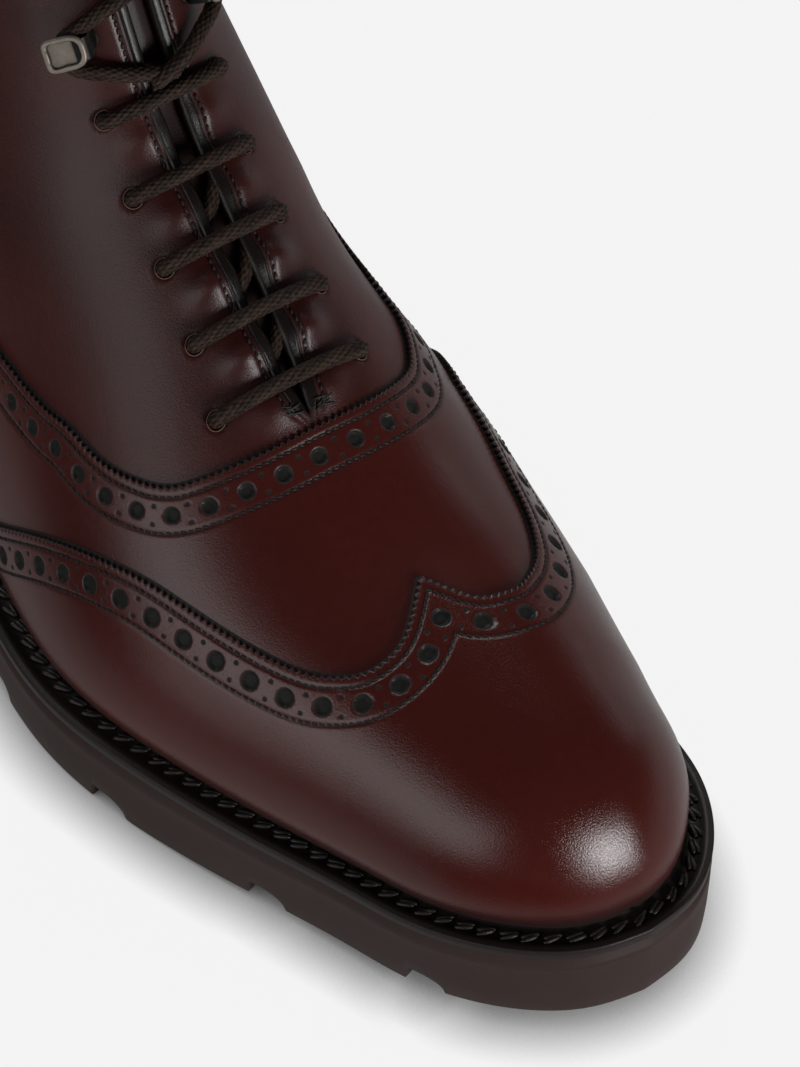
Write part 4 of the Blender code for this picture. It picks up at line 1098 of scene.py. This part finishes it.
def make_hooks(metal):
    """Lace hooks: a round base on the facing, a bent stem, and a rounded square cap with a raised rim."""
    cap_rows = [(9.0, 0.0), (1.0, 0.0), (0.25, 0.15), (0.0, 0.6), (0.2, 1.05), (0.5, 1.2),
                (0.95, 1.15), (1.15, 0.95), (1.2, 0.5), (1.5, 0.48), (9.0, 0.45)]
    base_rows = [(9.0, 0.0), (0.0, 0.0), (0.0, 0.25), (0.25, 0.5), (9.0, 0.6)]
    for row in range(len(HOOK_REACH)):
        for name, side in (("out", -1), ("in", 1)):
            reach = HOOK_REACH[row] + HOOK["ahead"]
            place = last(reach, side * HOOK_TURN)
            along, across = (unit(v) for v in slopes(np.array(reach), np.array(side * HOOK_TURN)))
            outward = unit(np.cross(along, across))
            across = np.cross(outward, along) * -1
            across = across * np.sign(across[0] * side)
            origin = place + outward * (UPPER_LIFT[1] + 0.05)
            put = lambda p: origin + p[..., :1] * across + p[..., 1:2] * along + p[..., 2:] * outward
            cap_plate = rounded_plate(HOOK["half_a"], HOOK["half_b"], cap_rows, (2.9, 5.0))
            cap = put(cap_plate + (HOOK["cap_at"], 0.0, HOOK["rise"]))
            base_plate = rounded_plate(3.2, 2.9, base_rows, (2.0, 2.0))
            base = put(base_plate + (2.4, 0.0, 0.0))
            bend = np.linspace(0, np.pi / 2, 6)
            lower = np.stack([1.6 - 1.1 * np.sin(bend), 1.55 - 1.1 * np.cos(bend)], -1)
            upper = np.stack([0.5 + 1.1 - 1.1 * np.cos(bend), 3.9 + 1.1 * np.sin(bend)], -1)
            line = np.concatenate([[[2.6, 0.45], [1.9, 0.45]], lower, upper, [[3.0, 5.0]]])
            ahead = unit(np.gradient(line, axis=0))
            across_line = np.stack([-ahead[:, 1], ahead[:, 0]], -1) * 0.42
            wide = HOOK["stem"]
            section = np.array([(-1, -wide), (1, -wide), (1.0, wide), (-1, wide)])
            pieces = [np.concatenate([line + across_line * a, np.full((len(line), 1), b)], 1) for a, b in section]
            strip = np.stack(pieces, 1)
            strip = put(strip[..., (0, 2, 1)])
            # Painted shade: the cap's sides and the wall of its recess, the base and the stem are darkened near black
            tone = np.array(HOOK["cap_shade"])[:, None] + np.zeros(cap.shape[:2])
            mesh = mesh_of(f"speed_hook_{name}_{row + 1}",
                           [(cap, False, True), (base, False, True), (strip, False, True)],
                           {"shade": [tone, np.ones(base.shape[:2]), np.ones(strip.shape[:2])]})
            piece = link_mesh(f"speed_hook_{name}_{row + 1}", mesh, metal, [f"hook_{name}_{row + 1}"])
            piece.data.set_sharp_from_angle(angle=np.radians(40))


# Materials


def node_material(name, colour, roughness, metallic=0.0):
    """Material with its shader's own values set, and a helper for adding linked nodes."""
    material = bpy.data.materials.new(name)
    material.use_nodes = True
    nodes, links = material.node_tree.nodes, material.node_tree.links
    shader = nodes["Principled BSDF"]
    shader.inputs["Base Color"].default_value = (*colour, 1.0)
    shader.inputs["Roughness"].default_value = roughness
    shader.inputs["Metallic"].default_value = metallic

    def add(kind, inputs=None, **settings):
        node = nodes.new(kind)
        for key, value in settings.items():
            setattr(node, key, value)
        for key, value in (inputs or {}).items():
            if isinstance(value, bpy.types.NodeSocket):
                links.new(value, node.inputs[key])
            else:
                node.inputs[key].default_value = value
        return node

    def drive(socket, value):
        links.new(value, shader.inputs[socket])

    return material, shader, add, drive


def leather_material(name, dark, light, roughness, grain, gloss=0.45):
    """Polished calf: cloudy colour, fine pebbled grain in the bump, a thin coat, painted shade near black, black-green
    in the holes.
    """
    material, shader, add, drive = node_material(name, dark, roughness)
    place = add("ShaderNodeTexCoord").outputs["Object"]
    cloud = add("ShaderNodeTexNoise", {"Vector": place, "Scale": 14.0, "Detail": 2.0, "Roughness": 0.5})
    fine = add("ShaderNodeTexNoise", {"Vector": place, "Scale": 420.0, "Detail": 4.0, "Roughness": 0.65})
    ramp = add("ShaderNodeMapRange", {"Value": cloud.outputs["Fac"], "From Min": 0.35, "From Max": 0.68})
    base = add("ShaderNodeMix", {"Factor": ramp.outputs[0], 6: (*dark, 1), 7: (*light, 1)}, data_type="RGBA")
    freckle = add("ShaderNodeMapRange", {"Value": fine.outputs["Fac"], "From Min": 0.3, "From Max": 0.7,
                                         "To Min": 0.94, "To Max": 1.06})
    tinted = add("ShaderNodeMix", {"Factor": 1.0, 6: base.outputs[2], 7: freckle.outputs[0]},
                 data_type="RGBA", blend_type="MULTIPLY")
    shade = add("ShaderNodeAttribute", attribute_name="shade").outputs["Fac"]
    punch = add("ShaderNodeAttribute", attribute_name="hole").outputs["Fac"]
    hole = add("ShaderNodeMapRange", {"Value": punch, "From Min": 0.42, "From Max": 0.54}).outputs[0]
    fluff = add("ShaderNodeTexNoise", {"Vector": place, "Scale": 900.0, "Detail": 3.0})
    # Colour in the holes: near black-green, the layer under them deepened by painted shade
    shaded_backing = add("ShaderNodeMix", {"Factor": fluff.outputs["Fac"], 6: (0.0004, 0.0004, 0.0003, 1),
                                    7: (0.010, 0.0098, 0.008, 1)}, data_type="RGBA")
    # Painted shade: the shade mark darkens the colour to near black; on the quarters it darkens the facing edges
    shaded_colour = add("ShaderNodeMix", {"Factor": shade, 6: tinted.outputs[2], 7: (0.006, 0.0035, 0.003, 1)}, data_type="RGBA")
    punched = add("ShaderNodeMix", {"Factor": hole, 6: shaded_colour.outputs[2], 7: shaded_backing.outputs[2]}, data_type="RGBA")
    drive("Base Color", punched.outputs[2])
    pores = add("ShaderNodeTexNoise", {"Vector": place, "Scale": 2700.0, "Detail": 3.0, "Roughness": 0.6})
    bump = add("ShaderNodeBump", {"Height": pores.outputs["Fac"], "Strength": grain, "Distance": 0.0002})
    drive("Normal", bump.outputs[0])
    rough = add("ShaderNodeMapRange", {"Value": fine.outputs["Fac"], "From Min": 0.3, "From Max": 0.7,
                                       "To Min": roughness - 0.015, "To Max": roughness + 0.02})
    edged = add("ShaderNodeMix", {"Factor": shade, 2: rough.outputs[0], 3: 0.7}, data_type="FLOAT")
    holed = add("ShaderNodeMix", {"Factor": hole, 2: edged.outputs[0], 3: 0.9}, data_type="FLOAT")
    drive("Roughness", holed.outputs[0])
    shader.inputs["Specular IOR Level"].default_value = gloss
    shader.inputs["Coat Weight"].default_value = 0.08
    shader.inputs["Coat Roughness"].default_value = 0.2
    return material


def rubber_material():
    """Moulded rubber: dark brown, slightly mottled, with a dry, faintly rough skin."""
    material, shader, add, drive = node_material("moulded_rubber", (0.045, 0.034, 0.031), 0.62)
    place = add("ShaderNodeTexCoord").outputs["Object"]
    cloud = add("ShaderNodeTexNoise", {"Vector": place, "Scale": 130.0, "Detail": 5.0, "Roughness": 0.6})
    colour = add("ShaderNodeMix", {"Factor": cloud.outputs["Fac"], 6: (0.0255, 0.0130, 0.0110, 1),
                                   7: (0.0355, 0.0195, 0.0168, 1)}, data_type="RGBA")
    drive("Base Color", colour.outputs[2])
    shader.inputs["Specular IOR Level"].default_value = 0.25
    grit = add("ShaderNodeTexNoise", {"Vector": place, "Scale": 1400.0, "Detail": 3.0})
    bump = add("ShaderNodeBump", {"Height": grit.outputs["Fac"], "Strength": 0.25, "Distance": 0.0002})
    drive("Normal", bump.outputs[0])
    return material


def thread_material(name, colour, roughness, gloss=0.4):
    """Waxed thread: dark, with a fine twist in the bump."""
    material, shader, add, drive = node_material(name, colour, roughness)
    shader.inputs["Specular IOR Level"].default_value = gloss
    place = add("ShaderNodeTexCoord").outputs["Object"]
    twist = add("ShaderNodeTexNoise", {"Vector": place, "Scale": 1800.0, "Detail": 2.0})
    bump = add("ShaderNodeBump", {"Height": twist.outputs["Fac"], "Strength": 0.4, "Distance": 0.0002})
    drive("Normal", bump.outputs[0])
    return material


def lace_material():
    """Woven lace: dark brown strands with paler crests and flecks, dry; the crests are a painted highlight and the gaps
    painted shade.
    """
    material, shader, add, drive = node_material("braided_cord", (0.03, 0.02, 0.014), 0.72)
    place = add("ShaderNodeTexCoord").outputs["Object"]
    weave = add("ShaderNodeAttribute", attribute_name="weave").outputs["Fac"]
    fleck = add("ShaderNodeTexNoise", {"Vector": place, "Scale": 1300.0, "Detail": 3.0, "Roughness": 0.7})
    # Painted highlight and shade: the yarns' height, with random flecks, sets how pale each spot is
    mixed = add("ShaderNodeMath", {0: fleck.outputs["Fac"], 1: 2.6, 2: weave}, operation="MULTIPLY_ADD")
    crest_light_and_fleck = add("ShaderNodeMapRange", {"Value": mixed.outputs[0], "From Min": 1.4, "From Max": 2.7})
    colour = add("ShaderNodeMix", {"Factor": crest_light_and_fleck.outputs[0], 6: (0.0035, 0.0022, 0.0016, 1),
                                   7: (0.050, 0.0275, 0.0185, 1)}, data_type="RGBA")
    drive("Base Color", colour.outputs[2])
    bump = add("ShaderNodeBump", {"Height": fleck.outputs["Fac"], "Strength": 0.6, "Distance": 0.0003})
    drive("Normal", bump.outputs[0])
    shader.inputs["Specular IOR Level"].default_value = 0.18
    return material


def metal_material():
    """Antique nickel: brownish plating with wear and soft scratches, and painted shade near black where the shade mark
    is.
    """
    material, shader, add, drive = node_material("antique_nickel", (0.30, 0.27, 0.23), 0.45, 0.5)
    place = add("ShaderNodeTexCoord").outputs["Object"]
    wear = add("ShaderNodeTexNoise", {"Vector": place, "Scale": 700.0, "Detail": 4.0})
    colour = add("ShaderNodeMix", {"Factor": wear.outputs["Fac"], 6: (0.15, 0.122, 0.098, 1),
                                   7: (0.31, 0.27, 0.23, 1)}, data_type="RGBA")
    shade = add("ShaderNodeAttribute", attribute_name="shade").outputs["Fac"]
    shaded_metal = add("ShaderNodeMix", {"Factor": shade, 6: colour.outputs[2], 7: (0.003, 0.0025, 0.002, 1)}, data_type="RGBA")
    drive("Base Color", shaded_metal.outputs[2])
    return material


# Stage


def place_camera():
    """Camera at the measured angle, aimed so that the anchor falls on its pixel."""
    a, e, r = np.radians([CAMERA["azimuth"], CAMERA["elevation"], CAMERA["roll"]])
    back = np.array([np.sin(a) * np.cos(e), -np.cos(a) * np.cos(e), np.sin(e)])
    right = np.array([np.cos(a), np.sin(a), 0.0])
    up = np.cross(back, right)
    image_x = np.cos(r) * right - np.sin(r) * up
    image_y = np.sin(r) * right + np.cos(r) * up
    anchor = to_boot(np.array(CAMERA["anchor"]))
    eye = anchor + back * CAMERA["distance"] * MM
    shift = (np.array(PHOTO_SIZE) / 2 - np.array(CAMERA["anchor_px"])) / CAMERA["px_per_mm"] * MM
    aim = anchor + image_x * shift[0] - image_y * shift[1]
    back = unit(eye - aim)
    image_x = unit(image_x - (image_x @ back) * back)
    image_y = np.cross(back, image_x)
    data = bpy.data.cameras.new("camera")
    data.sensor_fit = "VERTICAL"
    data.sensor_height = 36.0
    data.lens = 36.0 * CAMERA["distance"] * CAMERA["px_per_mm"] / PHOTO_SIZE[1]
    camera = bpy.data.objects.new("camera", data)
    bpy.context.scene.collection.objects.link(camera)
    turned = np.eye(4)
    turned[:3, 0], turned[:3, 1], turned[:3, 2], turned[:3, 3] = image_x, image_y, back, eye
    camera.matrix_world = Matrix(turned.tolist())
    bpy.context.scene.camera = camera


def soft_box(name, azimuth, elevation, wide, high, radiance, distance=1.3):
    """Soft box seen from the boot in a direction: azimuth from the toe towards the big-toe side, in degrees.

    Its width and height are angles, and its power is set so that its face has the given radiance.
    """
    data = bpy.data.lights.new(name, "AREA")
    data.shape = "RECTANGLE"
    data.size, data.size_y = 2 * distance * np.tan(np.radians([wide, high]) / 2)
    data.energy = radiance * np.pi * data.size * data.size_y
    light = bpy.data.objects.new(name, data)
    bpy.context.scene.collection.objects.link(light)
    a, e = np.radians([azimuth, elevation])
    back = np.array([np.sin(a) * np.cos(e), -np.cos(a) * np.cos(e), np.sin(e)])
    right = unit(np.cross((0, 0, 1), back))
    turned = np.eye(4)
    turned[:3, 0], turned[:3, 1], turned[:3, 2] = right, np.cross(back, right), back
    turned[:3, 3] = np.array(LIGHT_AIM) + back * distance
    light.matrix_world = Matrix(turned.tolist())


def card_tone(ring, inner_side):
    """Glow of the reflection card, a painted reflection: bright near the sole, dark, and bright again far out on the
    outer side.
    """
    away = np.array(CARD["out"])[:, None]
    u = ring[..., 1]
    rising = lambda ratio: np.clip(np.log(ratio) / CARD["edge"] + 0.5, 0, 1)
    outer = (CARD["dark"] + np.interp(u, *CARD["near"]) * rising(np.interp(u, *CARD["near_end"]) / away)
             + CARD["far"] * rising(away / np.interp(u, *CARD["far_start"])) * rising(CARD["far_end"] / away))
    inner = np.interp(away, *CARD["inner"]) * np.interp(u, *CARD["inner_back"])
    return outer * (1 - inner_side) + inner * inner_side


def make_stage():
    """Pale floor, glowing evenly, with a painted contact shadow round the boot; soft boxes and a dim surround.

    A glowing card round the boot, seen only in reflections, keeps the bright floor out of the leather and paints the
    reflections there instead.
    """
    mesh = bpy.data.meshes.new("floor")
    mesh.from_pydata([(-4, -4, 0), (4, -4, 0), (4, 4, 0), (-4, 4, 0)], [], [(0, 1, 2, 3)])
    floor = bpy.data.objects.new("floor", mesh)
    bpy.context.scene.collection.objects.link(floor)
    material, shader, add, drive = node_material("pale_floor", (0.05, 0.05, 0.05), 0.9)
    shader.inputs["Specular IOR Level"].default_value = 0.0
    # Painted contact shadow: the floor's glow is darkened by occlusion within 11 mm of the boot
    contact = add("ShaderNodeAmbientOcclusion", {"Distance": 0.011}, samples=8)
    painted_contact_shadow = add("ShaderNodeMath", {0: contact.outputs["AO"], 1: 1.6}, operation="POWER")
    drive("Emission Color", painted_contact_shadow.outputs[0])
    shader.inputs["Emission Strength"].default_value = 0.877
    mesh.materials.append(material)
    loop = welt_loop(200)
    normal = plan_normal(loop)
    ring = np.stack([loop + normal * d for d in CARD["out"]])
    ring[..., 2] = CARD["height"]
    inner_side = np.clip(0.5 + normal[:, 0], 0, 1)
    mesh = mesh_of("reflection_card", [(ring, False, True)], {"tone": [card_tone(ring, inner_side)]}, closed=False)
    card = bpy.data.objects.new("reflection_card", mesh)
    bpy.context.scene.collection.objects.link(card)
    # The card is black and glows with its tone: seen only in glossy rays, it paints the leather's reflections
    material, shader, add, drive = node_material("reflection_glow", (0.0, 0.0, 0.0), 1.0)
    shader.inputs["Specular IOR Level"].default_value = 0.0
    shader.inputs["Emission Strength"].default_value = 1.0
    drive("Emission Color", add("ShaderNodeAttribute", attribute_name="tone").outputs["Color"])
    mesh.materials.append(material)
    card.visible_camera = False
    card.visible_diffuse = False
    card.visible_shadow = False
    world = bpy.data.worlds.new("surround")
    world.use_nodes = True
    world.node_tree.nodes["Background"].inputs["Color"].default_value = (0.9, 0.9, 0.92, 1)
    world.node_tree.nodes["Background"].inputs["Strength"].default_value = 0.07
    bpy.context.scene.world = world
    bpy.context.scene.view_settings.view_transform = "Standard"
    soft_box("key_box", 150, 44, 22, 22, 5.2)
    soft_box("back_box", -165, 46, 22, 22, 3.2)
    soft_box("toe_box", 11.2, 9.5, 20, 22, 16.5)
    soft_box("outer_box", -80, 17.5, 50, 33, 1.65)
    soft_box("inner_box", 101, 11, 14, 8, 1.1)


def main():
    """Dress the boot and set the stage."""
    calf = leather_material("oxblood_calf", (0.042, 0.0050, 0.0034), (0.060, 0.0080, 0.0054), 0.24, 0.3)
    polished = leather_material("oxblood_polished_calf", (0.042, 0.0050, 0.0034), (0.060, 0.0080, 0.0054), 0.13, 0.4)
    soft_calf_colours = (0.030, 0.0045, 0.0036), (0.066, 0.0098, 0.0068)
    soft_calf = leather_material("oxblood_soft_calf", *soft_calf_colours, 0.36, 0.45, 0.36)
    cut_edge = leather_material("cut_edge", (0.11, 0.06, 0.04), (0.15, 0.085, 0.06), 0.6, 0.3)
    lining = leather_material("plain_lining", (0.20, 0.115, 0.065), (0.25, 0.15, 0.09), 0.6, 0.3)
    dark_welt = leather_material("waxed_welt", (0.011, 0.0065, 0.0055), (0.017, 0.010, 0.0083), 0.5, 0.5, 0.25)
    thread = thread_material("waxed_thread", (0.005, 0.003, 0.0024), 0.55)
    rope = thread_material("welt_thread", (0.012, 0.0085, 0.007), 0.45, 0.5)
    rubber = rubber_material()
    make_wing(polished, thread)
    make_vamp(calf, thread)
    edge_dye = leather_material("edge_dye", (0.007, 0.0042, 0.0035), (0.012, 0.007, 0.0058), 0.34, 0.4, 0.3)
    make_quarters(soft_calf, edge_dye, thread)
    make_eyelets(cut_edge)
    tongue_colours = (0.012, 0.0025, 0.0022), (0.020, 0.004, 0.0035)
    make_tongue(leather_material("soft_tongue", *tongue_colours, 0.6, 0.5, 0.15))
    make_welt(dark_welt, rope)
    make_outsole(rubber)
    make_heel(rubber)
    make_insole(lining)
    make_lace(lace_material())
    make_hooks(metal_material())
    make_stage()
    place_camera()


main()
